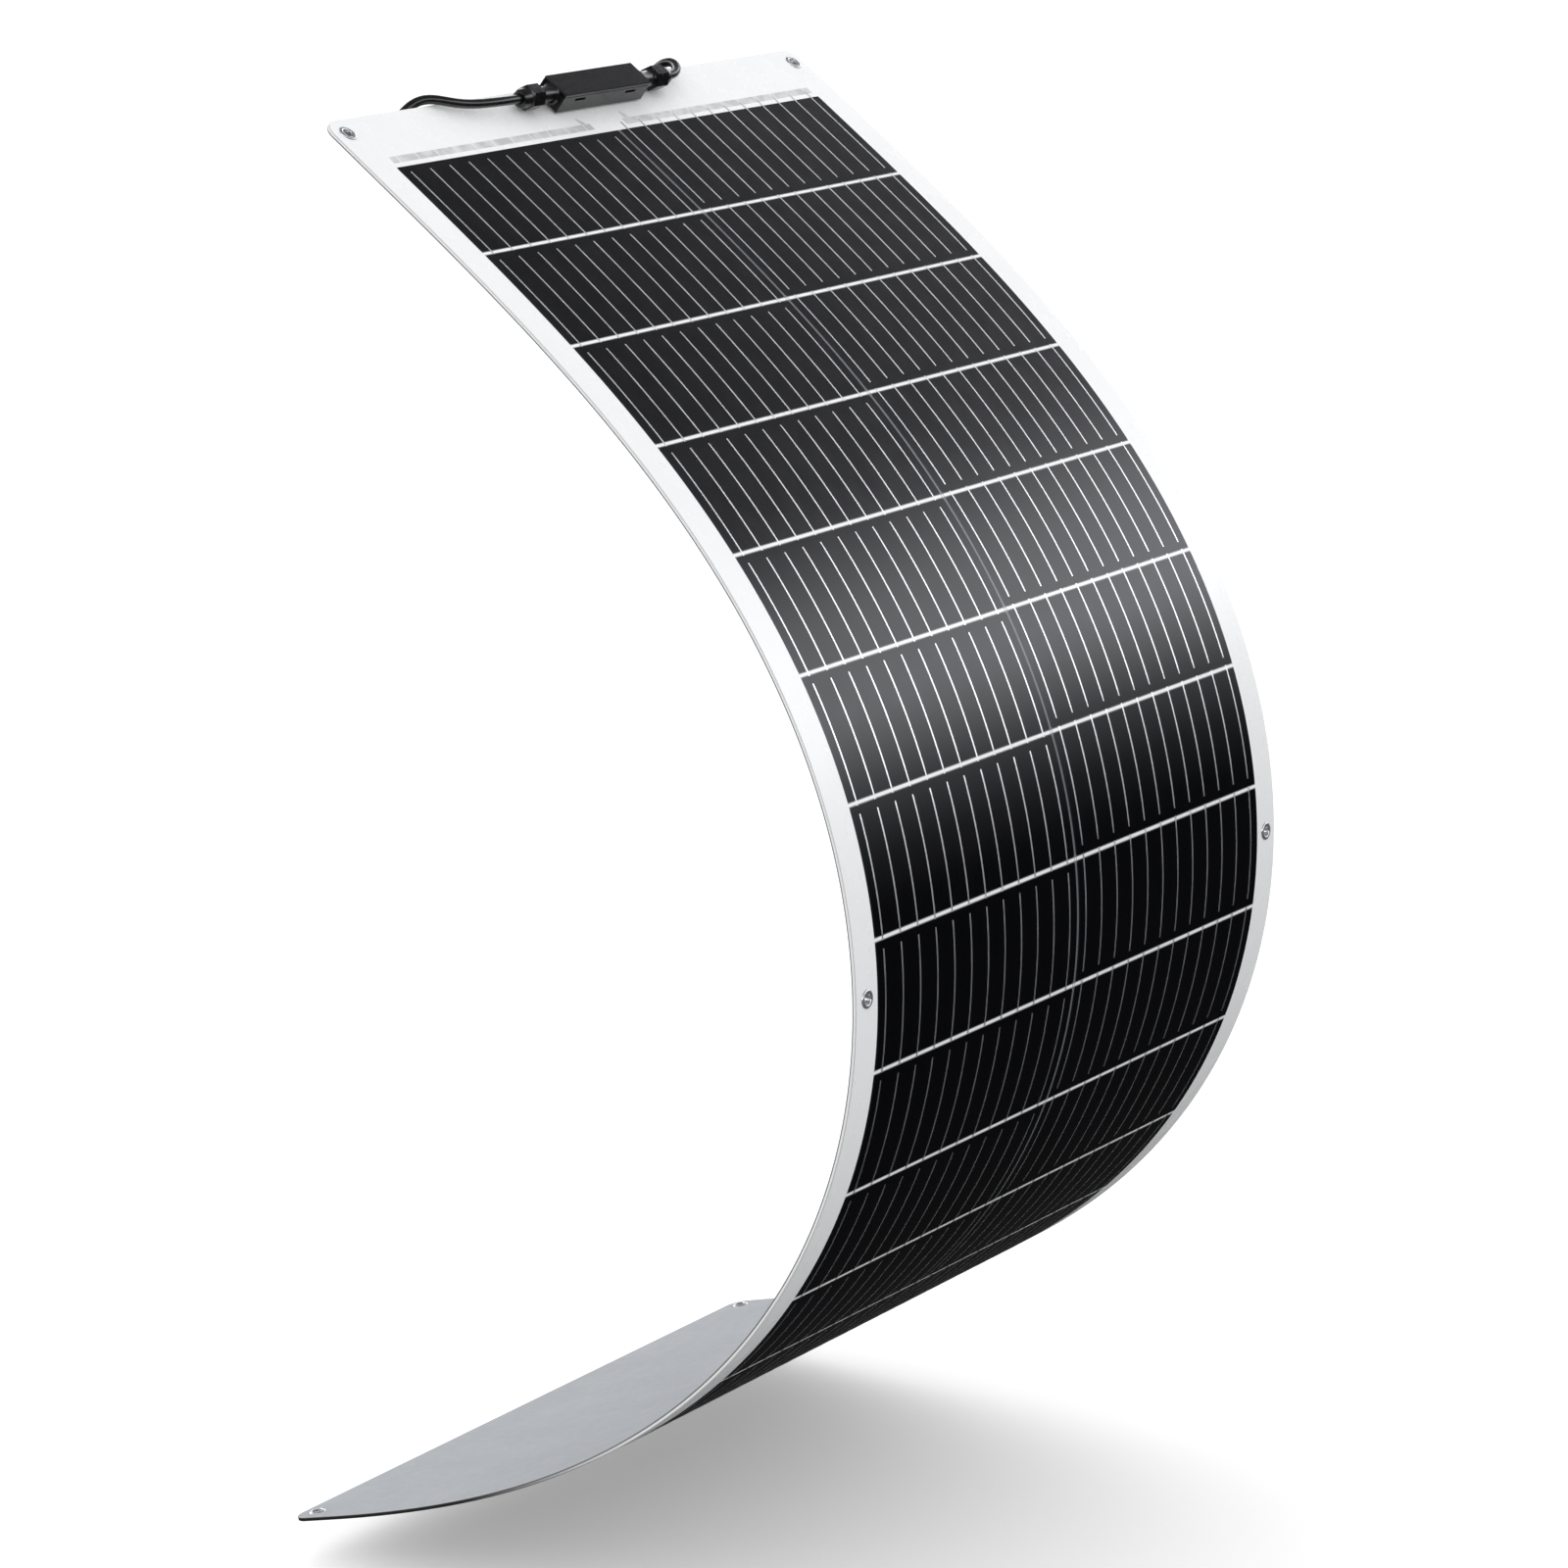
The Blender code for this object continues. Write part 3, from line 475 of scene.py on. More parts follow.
def grey_back():
    """Light grey backsheet, matte, with a fine grain."""
    m = Nodes("grey_back", (0.40, 0.415, 0.435), 0.55)
    m.clouded(22.0, (0.39, 0.406, 0.426), (0.412, 0.428, 0.448))
    m.uneven(160.0, 0.50, 0.62)
    m.bump(m.noise(1500.0, 2.0), 0.12, 0.0003)
    m.set(Specular_IOR_Level=0.3)
    return m.made


def cut_edge():
    """The cut edge: layers of film and encapsulant, white above, darkened along the lower leaf by
    painted shade.
    """
    m = Nodes("cut_edge", (0.7, 0.7, 0.7), 0.4)
    _, arc, height = m.attribute()
    # Painted shade: the edge darkens towards the end of the lower leaf, to the shaded colour below
    dark = m.ramp(arc, 0.84, 1.00)
    light = m.mix(m.clouds(900.0, 2.0), (0.80, 0.81, 0.82), (0.88, 0.88, 0.88))
    light = m.mix(m.ramp(height, -0.0006, -0.0003, 0.0, 0.55), light, (0.26, 0.27, 0.28))
    light = m.mix(m.ramp(height, -0.0018, -0.0014, 0.95, 0.0), light, (0.10, 0.105, 0.11))
    low_edge = m.ramp(height, -0.0022, -0.0019, 0.9, 0.0)
    shaded = m.mix(low_edge, (0.016, 0.017, 0.018), (0.42, 0.43, 0.44))
    m.colour(m.mix(dark, light, shaded))
    m.bump(m.noise(1200.0, 2.0), 0.15, 0.0002)
    return m.made


def silicon():
    """Black cell under clear film: fine contact fingers, painted shade beside the wires, bluish edge.
    """
    m = Nodes("black_silicon", (0.012, 0.013, 0.017), 0.30)
    across, arc, cell = m.attribute()
    # A tone of its own for each cell, scattered from its number
    own = m.value("SINE", m.value("MULTIPLY", cell, 12.9898))
    own = m.value("FRACT", m.value("MULTIPLY", own, 43.7))
    base = m.mix(m.clouds(9.0, 2.0), (0.0009, 0.0010, 0.0015), (0.0012, 0.0013, 0.0020))
    base = m.mix(m.value("MULTIPLY", own, 0.35), base, (0.0016, 0.0018, 0.0026))
    finger = m.value("PINGPONG", arc, 0.0007)
    finger = m.ramp(finger, 0.00052, 0.00066, 0.0, 0.10)
    base = m.mix(finger, base, (0.010, 0.011, 0.013))
    # Painted shade: a darker bed along each wire, seen on both sides of it
    step = m.value("DIVIDE", m.value("SUBTRACT", across, WIRE_MARGIN), WIRE_SPACING)
    off = m.value("SUBTRACT", m.value("FRACT", m.value("ADD", step, 10.5)), 0.5)
    off = m.value("MULTIPLY", m.value("ABSOLUTE", off), WIRE_SPACING)
    base = m.mix(m.ramp(off, 0.0008, 0.0015, 0.92, 0.0), base, (0.0008, 0.0008, 0.0009))
    base = m.mix(m.ramp(across, 0.0008, 0.0022, 0.45, 0.0), base, (0.009, 0.014, 0.025))
    m.colour(base)
    m.uneven(60.0, 0.13, 0.17)
    m.bump(m.noise(300.0, 1.0), 0.02, 0.0001)
    m.set(Specular_IOR_Level=0.26)
    return m.made


def silver_wire():
    m = Nodes("silver_wire", (0.88, 0.88, 0.89), 0.32, 0.92)
    m.clouded(60.0, (0.85, 0.85, 0.86), (0.92, 0.92, 0.92))
    m.uneven(300.0, 0.28, 0.36)
    return m.made


def ghost_ribbon():
    """Tinned ribbon seen through the white film."""
    m = Nodes("ghost_ribbon", (0.66, 0.66, 0.67), 0.32)
    patchy = m.noise(120.0, 2.0)
    m.colour(m.mix(m.ramp(patchy, 0.35, 0.65), (0.52, 0.525, 0.535), (0.66, 0.665, 0.675)))
    m.bump(patchy, 0.10, 0.0002)
    return m.made


def tinned():
    """Tinned copper of the terminals in the box."""
    m = Nodes("tinned_copper", (0.72, 0.72, 0.70), 0.35, 1.0)
    m.clouded(300.0, (0.64, 0.63, 0.60), (0.78, 0.78, 0.76))
    m.uneven(500.0, 0.28, 0.45)
    m.bump(m.noise(800.0), 0.2, 0.0003)
    return m.made


def polished_steel():
    m = Nodes("polished_steel", (0.70, 0.70, 0.71), 0.26, 0.85)
    m.clouded(500.0, (0.62, 0.62, 0.63), (0.78, 0.78, 0.79))
    m.uneven(900.0, 0.22, 0.34)
    m.bump(m.noise(1400.0, 2.0), 0.10, 0.0002)
    return m.made


def moulded(name, colour, roughness, grain, strength, gloss=0.5):
    """Moulded black plastic with a grain, a little paler where its colour clouds."""
    m = Nodes(name, colour, roughness)
    paler = tuple(min(1.0, part * 1.5 + 0.002) for part in colour)
    m.clouded(180.0, colour, paler)
    m.uneven(420.0, roughness - 0.05, roughness + 0.07)
    m.bump(m.noise(grain, 2.0), strength, 0.0003)
    m.set(Specular_IOR_Level=gloss)
    return m.made


def silicone():
    m = Nodes("white_silicone", (0.80, 0.80, 0.78), 0.6)
    m.clouded(250.0, (0.76, 0.76, 0.74), (0.84, 0.84, 0.82))
    m.bump(m.noise(400.0), 0.3, 0.0005)
    return m.made


def pale_floor():
    """White floor, which bounces less light than its look to the camera suggests. To the camera it
    also glows a little, painted light that lifts the shadows on it.
    """
    m = Nodes("pale_floor", (0.90, 0.90, 0.90), 0.9)
    seen = m.tree.nodes.new("ShaderNodeLightPath").outputs["Is Camera Ray"]
    white = m.mix(m.clouds(1.5), (0.895, 0.895, 0.897), (0.905, 0.905, 0.906))
    m.colour(m.mix(seen, (0.52, 0.52, 0.52), white))
    # Painted light: the floor glows for camera rays only, lifting its shadows
    m.link(m.value("MULTIPLY", seen, 0.22), m.shader.inputs["Emission Strength"])
    m.set(Specular_IOR_Level=0.0, Emission_Color=(1.0, 1.0, 1.0, 1.0))
    return m.made


# ---- mesh helpers


def add_object(name, data, *materials):
    made = bpy.data.objects.new(name, data)
    bpy.context.scene.collection.objects.link(made)
    for given in materials:
        data.materials.append(given)
    return made


def settle(piece, slot, body, *nodes):
    """Gives a piece its body, and says which CAD nodes it stands for by hiding them. slot is not used.
    """
    if nodes:
        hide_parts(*nodes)
    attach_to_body(piece, body)


def mesh_of(name, work):
    """Mesh from a bmesh, which it frees."""
    data = bpy.data.meshes.new(name)
    work.to_mesh(data)
    work.free()
    return data


def outward(name, work, *materials):
    """Object from a bmesh of closed solids, with its faces turned outwards."""
    bmesh.ops.recalc_face_normals(work, faces=work.faces)
    return add_object(name, mesh_of(name, work), *materials)


def loft_into(work, sections, slots=None):
    """Closed solid through sections, added to a bmesh. slots gives each outline side's material."""
    rings = [[work.verts.new(point) for point in section] for section in sections]
    count = len(rings[0])
    for first, second in zip(rings, rings[1:]):
        for index in range(count):
            other = (index + 1) % count
            face = work.faces.new((first[index], first[other], second[other], second[index]))
            face.material_index = slots[index] if slots else 0
            face.smooth = True
    ends = [work.faces.new(list(reversed(rings[0]))), work.faces.new(rings[-1])]
    for face in ends:
        face.material_index = slots[1] if slots else 0


def turned(name, outline, segments, paint, matrix=Matrix(), flutes=None, sharp=35):
    """Object turned about z from (radius, z) points. flutes = (count, depth, low, high) grooves it."""
    work = bmesh.new()
    rings = []
    for radius, z in outline:
        if radius == 0:
            rings.append([work.verts.new(matrix @ Vector((0, 0, z)))])
            continue
        ring = []
        for step in range(segments):
            angle = 2 * math.pi * step / segments
            r = radius
            if flutes and flutes[2] <= z <= flutes[3]:
                r -= flutes[1] * max(0.0, math.cos(flutes[0] * angle)) ** 2
            point = Vector((r * math.cos(angle), r * math.sin(angle), z))
            ring.append(work.verts.new(matrix @ point))
        rings.append(ring)
    for first, second in zip(rings, rings[1:] + rings[:1]):
        if len(first) == 1 and len(second) == 1:
            continue
        for index in range(segments):
            other = (index + 1) % segments
            corners = [first[index % len(first)], first[other % len(first)]]
            corners += [second[other % len(second)], second[index % len(second)]]
            face = work.faces.new(list(dict.fromkeys(corners)))
            face.smooth = True
    made = outward(name, work, paint)
    made.data.set_sharp_from_angle(angle=math.radians(sharp))
    return made


def box_into(work, low, high, bevel=0.0):
    """Box between two corners, with its edges rounded when a bevel is given."""
    made = bmesh.ops.create_cube(work, size=1.0)["verts"]
    size = [b - a for a, b in zip(low, high)]
    centre = [(a + b) / 2 for a, b in zip(low, high)]
    bmesh.ops.scale(work, vec=size, verts=made)
    bmesh.ops.translate(work, vec=centre, verts=made)
    if bevel:
        edges = list({edge for vert in made for edge in vert.link_edges})
        bmesh.ops.bevel(work, geom=edges, offset=bevel, segments=2, affect="EDGES", profile=0.6)


def cut_with(target, tool, operation="DIFFERENCE"):
    """Boolean that is applied at once, so that no guide is left in the scene."""
    change = target.modifiers.new("Cut", "BOOLEAN")
    change.operation = operation
    change.solver = "EXACT"
    change.object = tool
    keep_result(target)
    bpy.data.objects.remove(tool, do_unlink=True)


def keep_result(target):
    """Replaces an object's mesh by what its modifiers make of it."""
    depsgraph = bpy.context.evaluated_depsgraph_get()
    result = bpy.data.meshes.new_from_object(target.evaluated_get(depsgraph))
    target.modifiers.clear()
    old = target.data
    target.data = result
    bpy.data.meshes.remove(old)


def round_edges(target, width, segments=3, angle=40):
    """Rounds the sharp edges. Flat faces stay flat and round ones smooth."""
    change = target.modifiers.new("Round", "BEVEL")
    change.width = width
    change.segments = segments
    change.limit_method = "ANGLE"
    change.angle_limit = math.radians(angle)
    keep_result(target)
    target.data.shade_smooth()
    target.data.set_sharp_from_angle(angle=math.radians(14))


def store_place(data, place):
    """Stores a point attribute that the materials read."""
    stored = data.attributes.new("place", "FLOAT_VECTOR", "POINT")
    stored.data.foreach_set("vector", np.array(place, dtype=np.float32).ravel())


def follow_profile(target):
    """Gives faces along the sheet the profile's own normals, so that tiles meet without a line.

    Also stores each point's across, arc and height for the materials, unless it has its own."""
    data = target.data
    points = np.empty(len(data.vertices) * 3)
    data.vertices.foreach_get("co", points)
    points = points.reshape(-1, 3)
    arcs, heights = arcs_of(points)
    angles = slope(arcs)
    front = np.stack([-np.sin(angles), np.zeros_like(angles), np.cos(angles)], 1)
    if "place" not in data.attributes:
        store_place(data, np.stack([points[:, 1], arcs, heights], 1))
    wanted = []
    for face in data.polygons:
        side = float(np.dot(np.array(face.normal), front[face.vertices[0]]))
        sign = math.copysign(1.0, side) if abs(side) > ALONG_SHEET else 0.0
        wanted += [tuple(front[vertex] * sign) for vertex in face.vertices]
    data.normals_split_custom_set(wanted)


# ---- the sheet


def attach(piece, tile, slot, kind=None):
    """Bakes a tile's piece in place, or lets it ride at either end of the sheet.

    It stands for the CAD node of that kind in the tile's lower row, where there is one."""
    node = f"{kind}_row_{tile + 1:02d}"
    nodes = [node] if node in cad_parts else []
    if tile in (0, ROWS):
        settle(piece, slot, f"row_{max(tile, 1):02d}", *nodes)
        return
    if nodes:
        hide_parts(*nodes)
    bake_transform(piece)


def tile_arcs(tile):
    """Arcs of a tile's sections, closer together at the sheet's rounded corners."""
    first, last = tile_span(tile)
    arcs = list(np.linspace(first, last, TILE_STEPS + 1))
    turns = [math.pi / 2 * step / CORNER_STEPS for step in range(1, CORNER_STEPS + 1)]
    corner = [CORNER_RADIUS * (1 - math.cos(turn)) for turn in turns]
    if tile == 0:
        arcs += [first + depth for depth in corner]
    if tile == ROWS:
        arcs += [last - depth for depth in corner]
    arcs = sorted(arcs)
    return [arc for arc, before in zip(arcs, [-1.0] + arcs) if arc - before > 1e-5]


def section_at(arc, outline):
    """World points of an outline of (across, height) at one arc."""
    return [on_sheet(arc, across, height) for across, height in outline]


def sheet_section(arc):
    """World points round the sheet's cross section at one arc."""
    half = half_width(arc)
    e = EDGE_ROUND
    low = -THICKNESS
    outline = [
        (-half + e, 0.0),
        (half - e, 0.0),
        (half - 0.3 * e, -0.3 * e),
        (half, -e),
        (half, low + e),
        (half - 0.3 * e, low + 0.3 * e),
        (half - e, low),
        (-half + e, low),
        (-half + 0.3 * e, low + 0.3 * e),
        (-half, low + e),
        (-half, -e),
        (-half + 0.3 * e, -0.3 * e),
    ]
    return section_at(arc, outline)


def eyelet_frame(arc, across):
    """Frame on the front face, with z along its normal."""
    turn = Matrix.Rotation(-float(slope(arc)), 4, "Y")
    return Matrix.Translation(on_sheet(arc, across, 0.0)) @ turn


def make_sheet_tile(tile, film, back, edge):
    """One tile of the laminate, with the eyelets' holes."""
    work = bmesh.new()
    front, rear, side = 0, 1, 2
    slots = [front, side, side, side, side, side, rear, side, side, side, side, side]
    loft_into(work, [sheet_section(arc) for arc in tile_arcs(tile)], slots)
    made = outward(f"sheet_{tile + 1:02d}", work, film, back, edge)
    first, last = tile_span(tile)
    for arc in EYELET_ARCS.values():
        if not first < arc < last:
            continue
        for across in (-EYELET_ACROSS, EYELET_ACROSS):
            radius = EYELET_BARREL_RADIUS - 0.0001
            low = -THICKNESS - CUT_PAST
            outline = [(0, CUT_PAST), (radius, CUT_PAST), (radius, low), (0, low)]
            cut_with(made, turned("hole", outline, 32, edge, eyelet_frame(arc, across)))
    follow_profile(made)
    attach(made, tile, "laminate", "laminate")


def cell_half(arc, start):
    """Half the width that a cell has lost at its rounded corners, at one arc."""
    inside = min(arc - start, start + CELL_HEIGHT - arc)
    if inside >= CELL_CORNER:
        return 0.0
    return CELL_CORNER - math.sqrt(max(CELL_CORNER**2 - (CELL_CORNER - inside) ** 2, 0.0))


def cell_arcs(first, last, start):
    """Arcs of the sections through the part of a cell between two arcs."""
    steps = max(2, int(round((last - first) / PITCH * TILE_STEPS)))
    arcs = list(np.linspace(first, last, steps + 1))
    for depth in (0.0002, 0.0006, CELL_CORNER):
        arcs += [start + depth, start + CELL_HEIGHT - depth]
    return sorted({round(arc, 7) for arc in arcs if first <= arc <= last})


def make_cells_tile(tile, paint):
    """The lower halves of one row's cells and the upper halves of the next row's."""
    first, last = tile_span(tile)
    work = bmesh.new()
    places = []
    for row in (tile, tile + 1):
        start = (row - 1) * PITCH
        low = max(first, start)
        high = min(last, start + CELL_HEIGHT)
        if not 1 <= row <= ROWS or high <= low:
            continue
        for column, left in enumerate((-HALF_CELLS, COLUMN_GAP / 2)):
            sections = []
            for arc in cell_arcs(low, high, start):
                inset = cell_half(arc, start)
                outline = (
                    (left + inset, CELL_TOP),
                    (left + CELL_WIDTH - inset, CELL_TOP),
                    (left + CELL_WIDTH - inset, CELL_FOOT),
                    (left + inset, CELL_FOOT),
                )
                sections.append(section_at(arc, outline))
                places += [(across - left, arc - start, row * 2 + column) for across, _ in outline]
            loft_into(work, sections)
    made = outward(f"cells_{tile + 1:02d}", work, paint)
    store_place(made.data, places)
    follow_profile(made)
    attach(made, tile, "cells", "cell")


def wire_span(row, column):
    """First and last arc of a row's wires: each column's run on under the neighbouring row's cells."""
    start = (row - 1) * PITCH
    end = start + CELL_HEIGHT
    if column == 0:
        return start + WIRE_SHORT, end + (RIBBON_OFFSET if row == ROWS else ROW_GAP)
    return start - (RIBBON_OFFSET if row == 1 else ROW_GAP), end - WIRE_SHORT


def make_wires_tile(tile, paint):
    """Wires on the cells of one tile."""
    first, last = tile_span(tile)
    work = bmesh.new()
    for row in (tile, tile + 1, tile + 2):
        if not 1 <= row <= ROWS:
            continue
        for column, left in enumerate((-HALF_CELLS, COLUMN_GAP / 2)):
            span = wire_span(row, column)
            low = max(span[0], first)
            high = min(span[1], last)
            if high - low < 0.0005:
                continue
            arcs = np.linspace(low, high, max(3, int((high - low) / WIRE_STEP)))
            for wire in range(WIRES):
                middle = left + WIRE_MARGIN + wire * WIRE_SPACING
                half = WIRE_HALF_WIDTH
                sections = []
                for arc in arcs:
                    at_end = min(arc - span[0], span[1] - arc) < WIRE_STEP / 10
                    top = CELL_TOP + 0.00001 if at_end else WIRE_TOP
                    outline = (
                        (middle - half, CELL_TOP / 2),
                        (middle - 0.8 * half, top),
                        (middle + 0.8 * half, top),
                        (middle + half, CELL_TOP / 2),
                    )
                    sections.append(section_at(arc, outline))
                loft_into(work, sections)
    made = outward(f"wires_{tile + 1:02d}", work, paint)
    made.data.shade_flat()
    attach(made, tile, "cells")


def flat_prism(work, outline, top, bottom):
    """Prism in a flat margin from an outline of (arc, across) points."""
    sections = [[on_sheet(arc, across, height) for arc, across in outline] for height in (top, bottom)]
    loft_into(work, sections)


def make_top_ribbon(side, sign, tab, paint):
    """The ribbon under the film, in a dash between each two wires, and its tab up to the box."""
    name = f"ribbon_top_{side}_seen"
    work = bmesh.new()
    reach = HALF_CELLS - RIBBON_SIDE_INSET
    near = -RIBBON_OFFSET + RIBBON_WIDTH / 2
    far = -RIBBON_OFFSET - RIBBON_WIDTH / 2
    inner = tab - sign * (RIBBON_WIDTH / 2 + TAB_STUB)
    left = -HALF_CELLS if sign < 0 else COLUMN_GAP / 2
    wires = [left + WIRE_MARGIN + wire * WIRE_SPACING for wire in range(WIRES)]
    low, high = sorted((sign * reach, inner))
    cuts = [low] + [wire for wire in wires if low + 0.002 < wire < high - 0.002] + [high]
    half_break = 0.00045
    for first, last in zip(cuts, cuts[1:]):
        a = first + (half_break if first != low else 0.0)
        b = last - (half_break if last != high else 0.0)
        flat_prism(work, [(near, a), (near, b), (far, b), (far, a)], RIBBON_TOP, -RIBBON_TOP)
    half = RIBBON_WIDTH / 2
    tail = BOX_ARC + HALF_DEPTH + 0.0055
    fold = far - 0.0035
    start = far - 0.0003
    flare = [(start, tab - half), (start, tab + half), (fold, tab + 0.4 * half), (fold, tab - half)]
    flat_prism(work, flare, RIBBON_TOP, -RIBBON_TOP)
    tongue = [(fold, tab - half), (fold, tab), (tail, tab - 0.3 * half), (tail, tab - 1.1 * half)]
    flat_prism(work, tongue, RIBBON_TOP * 1.6, -RIBBON_TOP)
    made = outward(name, work, paint)
    settle(made, "tinned_copper", "row_01", f"ribbon_top_{side}")


def make_bottom_ribbon(paint):
    work = bmesh.new()
    reach = HALF_CELLS - RIBBON_SIDE_INSET
    near = CELLS_END + RIBBON_OFFSET - RIBBON_WIDTH / 2
    far = CELLS_END + RIBBON_OFFSET + RIBBON_WIDTH / 2
    outline = [(near, -reach), (near, reach), (far, reach), (far, -reach)]
    flat_prism(work, outline, RIBBON_TOP, -RIBBON_TOP)
    made = outward("ribbon_bottom_seen", work, paint)
    settle(made, "tinned_copper", f"row_{ROWS:02d}", "ribbon_bottom")


def make_eyelets(paint):
    """Rolled eyelets, domed on the front and flatter behind."""
    hole = EYELET_HOLE_RADIUS
    rim = EYELET_FLANGE_RADIUS
    back = -THICKNESS
    outline = []
    for step in range(9):
        turn = math.pi * step / 8
        reach = (rim - hole) / 2
        rise = EYELET_RISE * math.sin(turn) ** 0.7 + 0.00002
        outline.append((hole + reach - reach * math.cos(turn), rise))
    outline += [(EYELET_BARREL_RADIUS, 0.0), (EYELET_BARREL_RADIUS, back)]
    outline += [(rim, back), (rim - 0.0002, back - EYELET_RISE * 0.7)]
    outline += [(rim - 0.0008, back - EYELET_RISE), (hole + 0.0006, back - EYELET_RISE)]
    outline += [(hole, back - 0.0004)]
    bodies = {"top": "row_01", "middle": "row_08", "bottom": f"row_{ROWS:02d}"}
    for level, arc in EYELET_ARCS.items():
        for side, across in (("left", -EYELET_ACROSS), ("right", EYELET_ACROSS)):
            name = f"eyelet_{level}_{side}"
            made = turned(f"{name}_seen", outline, 48, paint, eyelet_frame(arc, across), sharp=50)
            settle(made, "eyelets", bodies[level], name)


# ---- the junction box


def box_frame_matrix():
    """The junction box's own frame."""
    up = normal(BOX_ARC)
    across = Vector((0.0, 1.0, 0.0))
    turn = Matrix((across, up.cross(across), up)).transposed().to_4x4()
    return Matrix.Translation(on_sheet(BOX_ARC, BOX_ACROSS, 0.0)) @ turn


def box_object(name, low, high, paint):
    work = bmesh.new()
    box_into(work, low, high)
    return add_object(name, mesh_of(name, work), paint)


def make_box_base(paint):
    """Open box with a port for each gland and a slot for each latch tab."""
    foot = (-HALF_LENGTH, -HALF_DEPTH, BASE_BOTTOM)
    base = box_object("box_base", foot, (HALF_LENGTH, HALF_DEPTH, BASE_TOP), paint)
    low = (-HALF_LENGTH + BOX_WALL, -HALF_DEPTH + BOX_WALL, BASE_BOTTOM + BOX_WALL)
    high = (HALF_LENGTH - BOX_WALL, HALF_DEPTH - BOX_WALL, BASE_TOP + CUT_PAST)
    cut_with(base, box_object("cavity", low, high, paint))
    for side in (-1, 1):
        middle = side * SLOT_ACROSS
        low = (middle - SLOT_WIDTH / 2, -HALF_DEPTH - CUT_PAST, SLOT_BOTTOM)
        high = (middle + SLOT_WIDTH / 2, HALF_DEPTH + CUT_PAST, SLOT_TOP)
        cut_with(base, box_object("slot", low, high, paint))
        port = [(0, -0.004), (0.0033, -0.004), (0.0033, 0.004), (0, 0.004)]
        place = Matrix.Translation((side * HALF_LENGTH, 0, GLAND_HEIGHT))
        lay = Matrix.Rotation(math.pi / 2, 4, "Y")
        cut_with(base, turned("port", port, 32, paint, place @ lay))
    round_edges(base, 0.00035, 2)
    base.matrix_world = box_frame_matrix()
    settle(base, "box_plastic", "row_01", "jbox_base")


def make_box_lid(paint):
    """Flat lid with rounded edges and four latch tabs."""
    foot = BASE_TOP + SEAM
    low = (-HALF_LENGTH, -HALF_DEPTH, foot)
    lid = box_object("box_lid", low, (HALF_LENGTH, HALF_DEPTH, LID_TOP), paint)
    tab_outer = HALF_DEPTH - BOX_WALL - SEAM
    for side in (-1, 1):
        for end in (-1, 1):
            middle = end * SLOT_ACROSS
            ends = sorted((side * (tab_outer - 0.001), side * tab_outer))
            low = (middle - SLOT_WIDTH / 2 + 0.0005, ends[0], SLOT_BOTTOM)
            high = (middle + SLOT_WIDTH / 2 - 0.0005, ends[1], foot + 0.001)
            cut_with(lid, box_object("tab", low, high, paint), "UNION")
    round_edges(lid, 0.0005, 3)
    lid.matrix_world = box_frame_matrix()
    settle(lid, "box_plastic", "box_lid", "jbox_lid")


def hex_prism(name, start, end, paint):
    """Hexagonal bar along z."""
    radius = GLAND_FLATS / 2 / math.cos(math.pi / 6)
    work = bmesh.new()
    sizes = {"radius1": radius, "radius2": radius, "depth": end - start}
    bmesh.ops.create_cone(work, cap_ends=True, segments=6, **sizes)
    bmesh.ops.translate(work, vec=(0, 0, (start + end) / 2), verts=work.verts)
    return add_object(name, mesh_of(name, work), paint)


def gland_matrix(sign):
    """Lays z along the box's length, outwards on one side."""
    lay = Matrix.Rotation(sign * math.pi / 2, 4, "Y")
    return box_frame_matrix() @ Matrix.Translation((0, 0, GLAND_HEIGHT)) @ lay


def make_gland_body(side, sign, paint):
    """Neck, hexagonal collar and thread of one gland."""
    bore = LEAD_DIAMETER / 2 + 0.0004
    neck = [
        (bore, HALF_LENGTH - 0.0014),
        (0.0064, HALF_LENGTH - 0.0010),
        (0.0064, HALF_LENGTH + 0.0006),
        (NECK_RADIUS + 0.0003, HALF_LENGTH + 0.0016),
        (NECK_RADIUS, HALF_LENGTH + 0.0030),
        (NECK_RADIUS, COLLAR_START - 0.0014),
        (NECK_RADIUS + 0.0005, COLLAR_START + 0.0004),
        (THREAD_RADIUS, COLLAR_END - 0.0005),
    ]
    for step in range(THREAD_TURNS):
        z = COLLAR_END + (THREAD_END - COLLAR_END) * (step + 0.3) / THREAD_TURNS
        neck += [(THREAD_RADIUS - 0.00035, z), (THREAD_RADIUS, z + 0.0004)]
    neck += [(THREAD_RADIUS - 0.0004, THREAD_END), (bore, THREAD_END)]
    body = turned(f"gland_body_{side}", neck, 48, paint)
    collar = hex_prism("collar", COLLAR_START, COLLAR_END, paint)
    hole = [(0, 0.04), (bore, 0.04), (bore, 0.08), (0, 0.08)]
    cut_with(collar, turned("bore", hole, 32, paint))
    cut_with(body, collar, "UNION")
    round_edges(body, 0.00025, 2, 35)
    body.matrix_world = gland_matrix(sign)
    settle(body, "box_plastic", "row_01")


